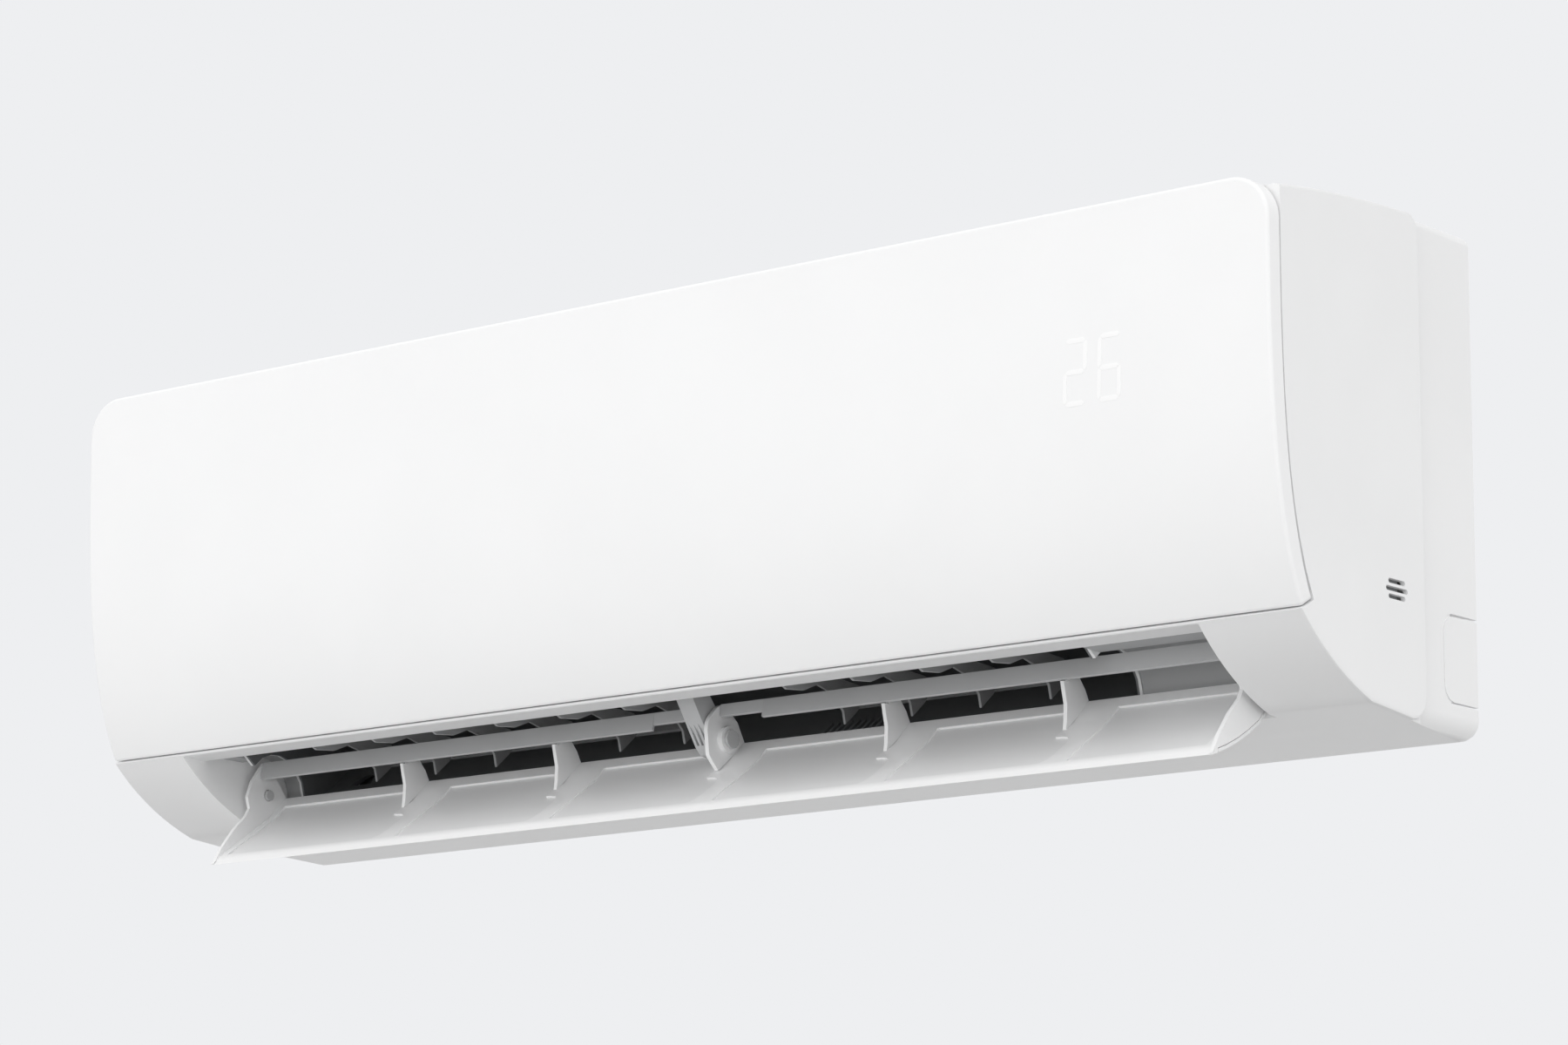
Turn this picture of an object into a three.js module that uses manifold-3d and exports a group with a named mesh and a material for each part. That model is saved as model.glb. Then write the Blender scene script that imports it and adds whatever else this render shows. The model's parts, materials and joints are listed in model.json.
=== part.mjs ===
// Wall-mounted air conditioner indoor unit. Millimetres: +X to the right seen from the front,
// the front faces -Y, +Z up. Inside this file z = 0 is the unit's lowest edge and y = 0 the wall.
import * as THREE from 'three';
import { mergeVertices } from 'three/addons/utils/BufferGeometryUtils.js';
import Module from 'manifold-3d';

const wasm = await Module();
wasm.setup();

// ---- driving dimensions ----
const clearance = 0.3; // between pieces that seat on each other
const width = 779; // over the casing sides
const topHeight = 251.5; // casing top at the wall
const domeDrop = 12.5; // how far the top falls from the wall to the front
const casingDepth = 187; // wall to the flat of the front panel
const bottomRise = 7.5; // underside at its front edge, above its lowest edge at the wall
const bottomFront = 104; // distance of that front edge from the wall
const wall = 2.5; // moulded wall
const seamDepth = 54; // casing ends here at the sides, the chassis runs on to the wall
const sideProud = 5; // casing sides stand proud of the chassis
const panelWall = 2.4;
const returnDepth = 10; // side returns of the front panel
const panelTop = 244.5;
const panelCorner = 21; // top corners of the panel
const panelGap = 0.5;
const seamHeight = 44.4; // lower edge of the panel
const outletLeft = -335.7; // outlet opening between the flanks
const outletRight = 332.1;
const ductLeft = -322; // fan duct between its end walls
const ductRight = 242;
const ductWall = 3;
const fanCentre = [-88, 103];
const fanRadius = 42;
const fanBlades = 20;
const fanLeft = -318;
const fanRight = 238;
const hinge = [-103.5, 27]; // louver axis
const openAngle = 60; // louver as photographed, from closed
const louverGap = 5; // louver ends to the flanks
const plateHeight = 150; // height of the mounting plate's centre, the part's origin

const white = new THREE.MeshStandardMaterial({ color: 0xf4f5f6, roughness: 0.35 });
const duct = new THREE.MeshStandardMaterial({ color: 0xc9cbce, roughness: 0.6 });
const dark = new THREE.MeshStandardMaterial({ color: 0x3a3c3f, roughness: 0.7 });
const steel = new THREE.MeshStandardMaterial({ color: 0xb9bcc0, roughness: 0.4, metalness: 0.9 });
const copper = new THREE.MeshStandardMaterial({ color: 0xb87347, roughness: 0.35, metalness: 1 });
const brass = new THREE.MeshStandardMaterial({ color: 0xc7a252, roughness: 0.35, metalness: 1 });
const finMetal = new THREE.MeshStandardMaterial({ color: 0xcfd3d8, roughness: 0.4, metalness: 0.8 });
const boardGreen = new THREE.MeshStandardMaterial({ color: 0x2f6b3c, roughness: 0.5 });
const rubber = new THREE.MeshStandardMaterial({ color: 0x222222, roughness: 0.8 });

const unit = new THREE.Group();
unit.position.z = -plateHeight;

// ---- solids ----
function toSolid(geometry) {
  const bare = geometry.clone();
  bare.deleteAttribute('normal');
  bare.deleteAttribute('uv');
  const merged = mergeVertices(bare, 1e-4);
  return new wasm.Manifold(new wasm.Mesh({
    numProp: 3,
    vertProperties: new Float32Array(merged.attributes.position.array),
    triVerts: new Uint32Array(merged.index.array),
  }));
}

function addPiece(name, solid, material, parent = unit) {
  const shell = solid.simplify(0.01).getMesh(); // drops slivers that the joins leave
  const geometry = new THREE.BufferGeometry();
  geometry.setAttribute('position', new THREE.BufferAttribute(new Float32Array(shell.vertProperties), 3));
  geometry.setIndex(new THREE.BufferAttribute(new Uint32Array(shell.triVerts), 1));
  geometry.computeVertexNormals();
  const mesh = new THREE.Mesh(geometry, material);
  mesh.name = name;
  parent.add(mesh);
  return mesh;
}

function join(first, ...others) {
  return others.reduce((sum, other) => sum.add(other), first);
}

function cut(body, ...tools) {
  return tools.reduce((rest, tool) => rest.subtract(tool), body);
}

function extruded(points, length, xTo, yTo, along, options = {}) {
  const geometry = new THREE.ExtrudeGeometry(new THREE.Shape(points), {
    depth: length, bevelEnabled: false, ...options,
  });
  geometry.applyMatrix4(new THREE.Matrix4().makeBasis(xTo, yTo, along));
  return geometry;
}

const axisX = new THREE.Vector3(1, 0, 0);
const axisY = new THREE.Vector3(0, 1, 0);
const axisZ = new THREE.Vector3(0, 0, 1);

// outline in (y, z), extruded from one x to another
function alongX(points, fromX, toX) {
  return toSolid(extruded(points, toX - fromX, axisY, axisZ, axisX).translate(fromX, 0, 0));
}

// outline in (x, z), extruded from one y to another
function alongY(points, fromY, toY) {
  const back = axisY.clone().negate();
  return toSolid(extruded(points, toY - fromY, axisX, axisZ, back).translate(0, toY, 0));
}

// outline in (x, y), extruded from one z to another
function alongZ(points, fromZ, toZ) {
  return toSolid(extruded(points, toZ - fromZ, axisX, axisY, axisZ).translate(0, 0, fromZ));
}

function block(fromX, toX, fromY, toY, fromZ, toZ) {
  const box = new THREE.BoxGeometry(toX - fromX, toY - fromY, toZ - fromZ);
  return toSolid(box.translate((fromX + toX) / 2, (fromY + toY) / 2, (fromZ + toZ) / 2));
}

// corners [a, b] or [a, b, radius], rounded into arcs
function rounded(corners) {
  const points = [];
  corners.forEach(([a, b, radius = 0], i) => {
    const here = new THREE.Vector2(a, b);
    if (radius === 0) {
      points.push(here);
      return;
    }
    const [beforeA, beforeB] = corners[(i + corners.length - 1) % corners.length];
    const [afterA, afterB] = corners[(i + 1) % corners.length];
    const toBefore = new THREE.Vector2(beforeA, beforeB).sub(here);
    const toAfter = new THREE.Vector2(afterA, afterB).sub(here);
    const half = Math.abs(toBefore.angleTo(toAfter)) / 2;
    const reach = Math.min(radius / Math.tan(half), 0.48 * toBefore.length(), 0.48 * toAfter.length());
    const bisector = toBefore.clone().normalize().add(toAfter.clone().normalize()).normalize();
    const centre = here.clone().addScaledVector(bisector, reach / Math.cos(half));
    const from = here.clone().addScaledVector(toBefore.normalize(), reach).sub(centre);
    const to = here.clone().addScaledVector(toAfter.normalize(), reach).sub(centre);
    const sweep = Math.atan2(from.cross(to), from.dot(to));
    const steps = Math.max(2, Math.ceil(Math.abs(sweep) / THREE.MathUtils.degToRad(radius > 8 ? 18 : 32)));
    for (let k = 0; k <= steps; k += 1) {
      points.push(from.clone().rotateAround(new THREE.Vector2(), sweep * k / steps).add(centre));
    }
  });
  return points;
}

function rectangle(fromA, toA, fromB, toB, radius = 0) {
  return rounded([[fromA, fromB, radius], [toA, fromB, radius], [toA, toB, radius], [fromA, toB, radius]]);
}

function circle([a, b], radius, sides = 16) {
  return arc([a, b], radius, 0, 360 - 360 / sides, sides - 1);
}

function arc([a, b], radius, fromDegrees, toDegrees, steps) {
  return Array.from({ length: steps + 1 }, (_, k) => {
    const angle = THREE.MathUtils.degToRad(fromDegrees + (toDegrees - fromDegrees) * k / steps);
    return new THREE.Vector2(a + radius * Math.cos(angle), b + radius * Math.sin(angle));
  });
}

// round rod between two points
function rod(from, to, radius, sides = 12) {
  const start = new THREE.Vector3(...from);
  const direction = new THREE.Vector3(...to).sub(start);
  const geometry = new THREE.CylinderGeometry(radius, radius, direction.length(), sides);
  geometry.translate(0, direction.length() / 2, 0);
  geometry.applyQuaternion(new THREE.Quaternion().setFromUnitVectors(axisY, direction.clone().normalize()));
  return toSolid(geometry.translate(start.x, start.y, start.z));
}

// ---- profile curves, in (y, z) ----
const v2 = (a, b) => new THREE.Vector2(a, b);
const domeHeight = (y) => topHeight - domeDrop * Math.max(-y / casingDepth, 0) ** 2.5;
const bottomHeight = (y) => bottomRise * (-y / bottomFront);
const faceCurve = new THREE.CubicBezierCurve(
  v2(24 - casingDepth, seamHeight), v2(1 - casingDepth, seamHeight + 44.5),
  v2(-casingDepth, seamHeight + 105), v2(-casingDepth, panelTop - 14),
);
const flankCurve = new THREE.QuadraticBezierCurve(
  v2(23.6 - casingDepth, seamHeight - 0.9), v2(-140, 19.5), v2(-bottomFront, bottomRise),
);

// the face curve moved inwards by a depth, from its lower end up to a height
function facePoints(depth, fromHeight, toHeight, steps = 9) {
  const points = [];
  for (let k = 0; k <= steps; k += 1) {
    const at = faceCurve.getPoint(k / steps);
    const tangent = faceCurve.getTangent(k / steps);
    points.push(v2(at.x + tangent.y * depth, at.y - tangent.x * depth));
  }
  const kept = points.filter((p) => p.y > fromHeight + 0.5 && p.y < toHeight - 0.5);
  return [v2(faceAt(points, fromHeight), fromHeight), ...kept, v2(faceAt(points, toHeight), toHeight)];
}

function faceAt(points, height) {
  const after = points.findIndex((p) => p.y > height);
  if (after < 1) {
    return points[after < 0 ? points.length - 1 : 0].x;
  }
  const [low, high] = [points[after - 1], points[after]];
  return low.x + (high.x - low.x) * (height - low.y) / (high.y - low.y);
}

function domePoints(fromY, toY, lower, steps = 6) {
  return Array.from({ length: steps + 1 }, (_, k) => {
    const y = fromY + (toY - fromY) * k / steps;
    return v2(y, domeHeight(y) - lower);
  });
}

const seam = faceCurve.getPoint(0);
const seamNormal = v2(faceCurve.getTangent(0).y, -faceCurve.getTangent(0).x);
// a point beside the seam: inwards by a depth, and down the flank by a drop
const ledge = (depth, drop) => v2(
  seam.x + seamNormal.x * depth + seamNormal.y * drop, seam.y + seamNormal.y * depth - seamNormal.x * drop,
);

// the face curve's inward normal at a height
function faceNormal(height) {
  let [low, high] = [0, 1];
  for (let k = 0; k < 24; k += 1) {
    const middle = (low + high) / 2;
    [low, high] = faceCurve.getPoint(middle).y < height ? [middle, high] : [low, middle];
  }
  const tangent = faceCurve.getTangent(low);
  return v2(tangent.y, -tangent.x);
}

// ---- front panel ----
// One ring of the panel: left-hand points from the lower edge up round the top corner.
function panelRing(inset, depth, lowerInset) {
  const halfWidth = width / 2 - inset;
  const top = panelTop - inset;
  const corner = panelCorner - inset;
  const heights = facePoints(0, seamHeight + lowerInset, panelTop - panelCorner, 9).map((p) => p.y);
  const side = heights.map((z) => [-halfWidth, z]);
  const turn = arc([-halfWidth + corner, top - corner], corner, 180, 90, 6).slice(1).map((p) => [p.x, p.y]);
  const outer = facePoints(0, seamHeight, panelTop, 16);
  return [...side, ...turn].map(([x, z]) => {
    const normal = faceNormal(z);
    return new THREE.Vector3(x, faceAt(outer, z) + normal.x * depth, z + normal.y * depth);
  });
}

function panelBody(rings) {
  const count = rings[0].length;
  const positions = [];
  rings.forEach((ring) => ring.forEach((p) => positions.push(p.x, p.y, p.z)));
  rings.forEach((ring) => ring.forEach((p) => positions.push(-p.x, p.y, p.z)));
  const left = (ring, k) => ring * count + k;
  const right = (ring, k) => rings.length * count + ring * count + k;
  const faces = [];
  const quad = (a, b, c, d) => faces.push(a, b, c, a, c, d);
  const last = rings.length - 1;
  for (let k = 0; k + 1 < count; k += 1) {
    for (let ring = 0; ring < last; ring += 1) {
      quad(left(ring, k), left(ring + 1, k), left(ring + 1, k + 1), left(ring, k + 1));
      quad(right(ring, k), right(ring, k + 1), right(ring + 1, k + 1), right(ring + 1, k));
    }
    quad(left(last, k), right(last, k), right(last, k + 1), left(last, k + 1));
    quad(left(0, k), left(0, k + 1), right(0, k + 1), right(0, k));
  }
  for (let ring = 0; ring < last; ring += 1) {
    quad(left(ring, 0), right(ring, 0), right(ring + 1, 0), left(ring + 1, 0));
    const end = count - 1;
    quad(left(ring, end), left(ring + 1, end), right(ring + 1, end), right(ring, end));
  }
  const geometry = new THREE.BufferGeometry();
  geometry.setAttribute('position', new THREE.Float32BufferAttribute(positions, 3));
  geometry.setIndex(faces);
  return toSolid(geometry);
}

const panelAxis = [-casingDepth + returnDepth + 0.5, panelTop - 2.5];
const panelBevel = 2.6;
const lugPlace = width / 2 - 60; // hinge lugs of the panel

function frontPanel() {
  const outside = panelBody([
    panelRing(0, returnDepth, 0), panelRing(0, panelBevel, 0),
    panelRing(0.8, 0.8, 0.4), panelRing(panelBevel, 0, 1),
  ]);
  const inside = panelBody([
    panelRing(panelWall, returnDepth + 20, panelWall), panelRing(panelWall, panelWall, panelWall),
  ]);
  const lugs = [-1, 1].map((side) => {
    const x = side * lugPlace;
    const arm = alongX(rounded([
      [-casingDepth + panelWall - 0.4, panelTop - 12], [panelAxis[0] + 3, panelTop - 8, 2],
      [panelAxis[0] + 3, panelTop - 1.5, 2], [-casingDepth + panelWall - 0.4, panelTop - 1.5],
    ]), x - 3, x + 3);
    const pin = alongX(circle(panelAxis, 1.6, 10), x - 6, x + 6);
    return join(arm, pin);
  });
  const seatRoom = [-1, 1].map((side) => block(
    side * lugPlace - 7.8, side * lugPlace + 7.8, -casingDepth + panelWall + 1.5, -casingDepth + 20,
    panelTop - 8, panelTop + 2,
  ));
  addPiece('front_panel', join(cut(outside, inside, ...seatRoom), ...lugs), white);
}

frontPanel();

// ---- front casing ----
const casingFront = returnDepth + panelGap; // depth of the casing's front wall behind the face
const sideInside = width / 2 - wall;
const lipRear = [-146, 42.2]; // rear edge of the strip over the louver
const noseY = -97; // front edge of the underside

function silhouette(rearTop, rearBottom, inset = 0) {
  return [
    ...flankCurve.getPoints(9).reverse(),
    ...facePoints(0, seamHeight + 2, panelTop - 8, 11),
    ...domePoints(3 - casingDepth, -seamDepth, inset, 6),
    ...rearTop, ...rearBottom,
  ];
}

function frontCasing() {
  const topRear = domeHeight(-seamDepth);
  const lowRear = bottomHeight(-seamDepth);
  const middle = alongX(
    silhouette([], [v2(-seamDepth, lowRear)]), sideProud - width / 2, width / 2 - sideProud,
  );
  const roundTop = arc([-seamDepth - 10, topRear - 10], 10, 90, 0, 4);
  const roundLow = arc([-seamDepth - 13, lowRear + 13], 13, 0, -90, 4);
  const sideLine = [
    ...flankCurve.getPoints(9).reverse(), ...facePoints(0, seamHeight + 2, panelTop - 8, 11),
    ...domePoints(3 - casingDepth, -seamDepth - 12, 0, 7), ...roundTop, ...roundLow,
  ];
  const edge = 2.2;
  const sides = toSolid(extruded(sideLine, width - 2 * edge, axisY, axisZ, axisX, {
    bevelEnabled: true, bevelThickness: edge, bevelSize: edge, bevelOffset: -edge, bevelSegments: 2,
  }).translate(edge - width / 2, 0, 0));
  const panelRoom = alongX([
    ledge(-40, panelGap), ledge(0, panelGap), ledge(casingFront, panelGap),
    ...facePoints(casingFront, seamHeight + 8, panelTop + 20, 10), v2(-casingDepth - 40, panelTop + 20),
  ], -width, width);
  const innerLow = flankCurve.getPoints(7).map((p, i) => {
    const t = flankCurve.getTangent(i / 9);
    return v2(p.x - t.y * wall, p.y + t.x * wall);
  }).filter((p) => p.y < seamHeight - 4);
  const cavityLine = [
    ...facePoints(casingFront + wall, seamHeight + 9, domeHeight(-170) - wall - 2, 9),
    ...domePoints(-160, 10, wall), v2(10, bottomHeight(0) + wall),
    v2(-bottomFront, bottomRise + wall), ...innerLow.reverse().slice(1),
  ];
  const flankWall = alongX([
    v2(-175, -10), v2(-80, -10), v2(-80, seamHeight + 8), v2(-175, seamHeight + 8),
  ], outletLeft - wall, outletRight + wall);
  const flankGap = block(outletLeft, outletRight, -200, 0, -20, 80);
  const cavity = cut(alongX(cavityLine, -sideInside, sideInside), cut(flankWall, flankGap));
  const outlet = block(outletLeft, outletRight, -200, noseY, -20, seamHeight - 1.6);
  const strip = alongX([
    ledge(0.4, panelGap + 0.1), ledge(casingFront, panelGap + 0.1), v2(lipRear[0] - 5, lipRear[1] + 4),
    v2(lipRear[0], lipRear[1] + 1.2), v2(...lipRear), ledge(0.9, panelGap + 1.6),
  ], outletLeft - 0.5, outletRight + 0.5);
  const windows = [[filterLeft, filterMiddle - 4], [filterMiddle + 4, filterRight]].map(([from, to]) =>
    alongY(rectangle(from, to, filterLow, filterHigh, 6), -200, -140));
  const louverHoles = [outletLeft - 1, outletRight + 1].map((x) =>
    alongX(circle(hinge, 5.2, 16), x - 5, x + 5));
  const buttonHole = rod([buttonX, -200, buttonZ], [buttonX, -150, buttonZ], 3.1, 12);
  let casing = cut(join(middle, sides), panelRoom, cavity);
  casing = cut(casing, outlet, ...windows, ...louverHoles, buttonHole, ...grilleSlots(), ...sideVents());
  for (const lugX of [-1, 1].map((side) => side * lugPlace)) {
    const notch = block(lugX - 6.8, lugX + 6.8, -casingDepth + 5, panelAxis[0] + 8, panelTop - 14, panelTop + 5);
    const seats = [-1, 1].map((side) => {
      const x = lugX + side * 5.4;
      const [y, z] = panelAxis;
      return block(x - 1.8, x + 1.8, y - 1.6, y + 3, z - 3.2, z + 2.6);
    });
    const bore = alongX(circle(panelAxis, 1.6 + clearance, 10), lugX - 6.3, lugX + 6.3);
    casing = cut(join(cut(casing, notch), ...seats), bore);
  }
  addPiece('front_casing', join(casing, strip), white);
}

const filterLeft = -322;
const filterRight = 242;
const filterMiddle = -38;
const filterLow = 62;
const filterHigh = 229;
const buttonX = width / 2 - 69.5;
const buttonZ = 118;

// rows of long slots in the top, with ribs between
function grilleSlots() {
  const rows = 8;
  const rowPitch = 11.5;
  const slot = 7;
  const columns = 4;
  const columnPitch = 156;
  const rib = 5;
  const firstY = -160;
  return Array.from({ length: rows * columns }, (_, k) => {
    const y = firstY + Math.floor(k / columns) * rowPitch;
    const x = (k % columns - columns / 2) * columnPitch - 8;
    return block(x, x + columnPitch - rib, y, y + slot, topHeight - 30, topHeight + 10);
  });
}

// three short rounded slots in the right side, before the room sensor
const ventCentre = [-80.9, 63.9];
function sideVents() {
  const pitch = 3.7;
  const high = 2.3;
  return [-1, 0, 1].map((row) => {
    const half = row === 0 ? 9.6 : 7.4;
    const z = ventCentre[1] + row * pitch;
    return alongX(rectangle(
      ventCentre[0] - half, ventCentre[0] + half, z - high / 2, z + high / 2, high / 2 - 0.05,
    ), sideInside - 3, width / 2 + 2);
  });
}

frontCasing();

// ---- air filters, curved with the casing's front windows ----
function filter(name, fromX, toX) {
  const [left, right] = [fromX + clearance, toX - clearance];
  const [low, high] = [filterLow + clearance, filterHigh - clearance];
  const strip = (front, back, x0, x1, z0, z1) => alongX([
    ...facePoints(front, z0, z1, 4), ...facePoints(back, z0, z1, 4).reverse(),
  ], x0, x1);
  const [front, back] = [casingFront + 0.2, casingFront + wall - 0.2];
  const sheet = strip(front + 0.8, front + 1.4, left + 7, right - 7, low + 1, high - 1);
  const bars = 4;
  const barPitch = (right - left - 4) / bars;
  const uprights = Array.from({ length: bars + 1 }, (_, k) =>
    strip(front, back, left + k * barPitch, left + k * barPitch + 4, low + 7, high - 7));
  const rows = 3;
  const rowPitch = (high - low - 4) / rows;
  const rails = Array.from({ length: rows + 1 }, (_, k) =>
    strip(front, back, left + (k % rows ? 0 : 7), right - (k % rows ? 0 : 7),
      low + k * rowPitch, low + k * rowPitch + 4));
  addPiece(name, join(sheet, ...uprights, ...rails), duct);
}

filter('filter_left', filterLeft, filterMiddle - 4);
filter('filter_right', filterMiddle + 4, filterRight);

// ---- drip tray, one moulding with the duct roof, the filler walls and the tongue before the fan ----
const roofStart = [lipRear[0] + 0.2, lipRear[1] + 1.8];
const tongue = [-128.5, 75.5];
const roofAlong = v2(tongue[0] + 1.4 - roofStart[0], tongue[1] - 2.4 - roofStart[1]).normalize();
const roofAcross = v2(roofAlong.y, -roofAlong.x); // from the roof down and back into the duct
const ductFloor = { at: v2(-62.1, 33.7), slope: 0.649 };
const floorHeight = (y) => ductFloor.at.y + (y - ductFloor.at.x) * ductFloor.slope;
const floorFront = -94.2;
const hoodRadius = 22.5; // the louver's inner blade turns inside this
const vaneRoot = 18; // from the lip up the roof to the vanes' pivots
const vanesLeft = Array.from({ length: 6 }, (_, k) => -267 + 44.3 * k);
const vanesRight = Array.from({ length: 4 }, (_, k) => 61 + 43 * k);

// a point of the vanes' plane: along the pivot away from the roof, and up the roof
function vanePoint(down, up) {
  return [
    roofStart[0] + roofAlong.x * (vaneRoot + up) + roofAcross.x * down,
    roofStart[1] + roofAlong.y * (vaneRoot + up) + roofAcross.y * down,
  ];
}

function dripTray() {
  const frontSkin = facePoints(casingFront + wall + 0.9, seamHeight + 10, 84, 6);
  const backSkin = facePoints(casingFront + wall + 2.9, 66, 84, 3);
  const section = [
    v2(...roofStart), ...rounded([[lipRear[0] - 2, lipRear[1] + 6.2]]), ...frontSkin,
    ...backSkin.reverse(), v2(-152, 64), v2(-134, 64), v2(-131.2, 68), v2(-131.2, 84), v2(-128.6, 84),
    ...arc(tongue, 2.5, 30, -60, 3),
  ];
  const tray = alongX(section, outletLeft + clearance, outletRight - clearance);
  const hoodStart = v2(...roofStart).addScaledVector(roofAlong, 1.5);
  const hoodInner = [hoodStart, ...arc(hinge, hoodRadius, 128, -17, 9)];
  const hoodOuter = [v2(floorFront, floorHeight(floorFront)), v2(floorFront, floorHeight(floorFront) - 2),
    v2(-80, 20.2), ...arc(hinge, hoodRadius + 2, -14, 100, 6), v2(-130, 66)];
  const hoods = [[outletLeft + clearance, ductLeft - ductWall - clearance],
    [ductRight + ductWall + clearance, outletRight - clearance]].map(([from, to]) =>
    alongX([...hoodInner, ...hoodOuter], from, to));
  const ends = [outletLeft + clearance, outletRight - clearance - 2].map((x) =>
    alongX([v2(-155.5, 64), v2(-131.2, 64), v2(-131.2, 84), v2(-161.5, 84)], x, x + 2));
  const pivots = [...vanesLeft, ...vanesRight].map((x) =>
    rod([x, ...vanePoint(-3.4, 0)], [x, ...vanePoint(4, 0)], 2.3, 8));
  addPiece('drip_tray', cut(join(tray, ...hoods, ...ends), ...pivots), duct);
}

dripTray();

// ---- vanes and their link bars ----
const linkUp = 27; // link peg from the pivot axis
const linkDown = 67;
const vaneThick = 1.6;

function vane(name, x) {
  const outline = rounded([
    [1, -11], [14, -9], [25, -0.5], [32, 9], [45, 13.6], [56, 11.5], [61, 6.8],
    [65, 19], [66, 30, 1.5], [58, 31], [40, 21], [18, 13], [1, 10],
  ]).map((p) => v2(...vanePoint(p.x, p.y)));
  const leaf = alongX(outline, x - vaneThick / 2, x + vaneThick / 2);
  const pin = rod([x, ...vanePoint(-3, 0)], [x, ...vanePoint(3, 0)], 2, 8);
  const peg = rod([x, ...vanePoint(62, linkUp)], [x, ...vanePoint(linkDown + 2.6, linkUp)], 1.5, 6);
  addPiece(name, join(leaf, pin, peg), duct);
}

function linkBar(name, places) {
  const from = places[0] - 6;
  const to = places[places.length - 1] + 6;
  const bar = alongX([
    v2(...vanePoint(linkDown, linkUp - 3)), v2(...vanePoint(linkDown + 1.8, linkUp - 3)),
    v2(...vanePoint(linkDown + 1.8, linkUp + 3)), v2(...vanePoint(linkDown, linkUp + 3)),
  ], from, to);
  const holes = places.map((x) =>
    rod([x, ...vanePoint(linkDown - 2, linkUp)], [x, ...vanePoint(linkDown + 4, linkUp)], 1.8, 6));
  addPiece(name, cut(bar, ...holes), duct);
}

vanesLeft.forEach((x, k) => vane(`vane_left_${k + 1}`, x));
vanesRight.forEach((x, k) => vane(`vane_right_${k + 1}`, x));
linkBar('link_bar_left', vanesLeft);
linkBar('link_bar_right', vanesRight);

// ---- rear chassis with the fan's scroll and the duct floor ----
const scrollWall = 2.2;
const rearWall = [-9, -6.5];
const chassisHalf = width / 2 - sideProud;
const channel = { low: 17, high: 61, depth: 31.5 }; // pipe recess along the back
const troughHeight = 138; // under the rear evaporator
const scrollStart = 45;
const scrollGrowth = 0.2217;
const scrollPoint = (degrees, outward) => {
  const radius = (fanRadius + 5.5) * Math.exp(scrollGrowth * THREE.MathUtils.degToRad(scrollStart - degrees));
  const angle = THREE.MathUtils.degToRad(degrees);
  return v2(
    fanCentre[0] + (radius + outward) * Math.cos(angle), fanCentre[1] + (radius + outward) * Math.sin(angle),
  );
};
const scroll = (fromDegrees, toDegrees, outward, steps) => Array.from({ length: steps + 1 }, (_, k) =>
  scrollPoint(fromDegrees + (toDegrees - fromDegrees) * k / steps, outward));

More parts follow.
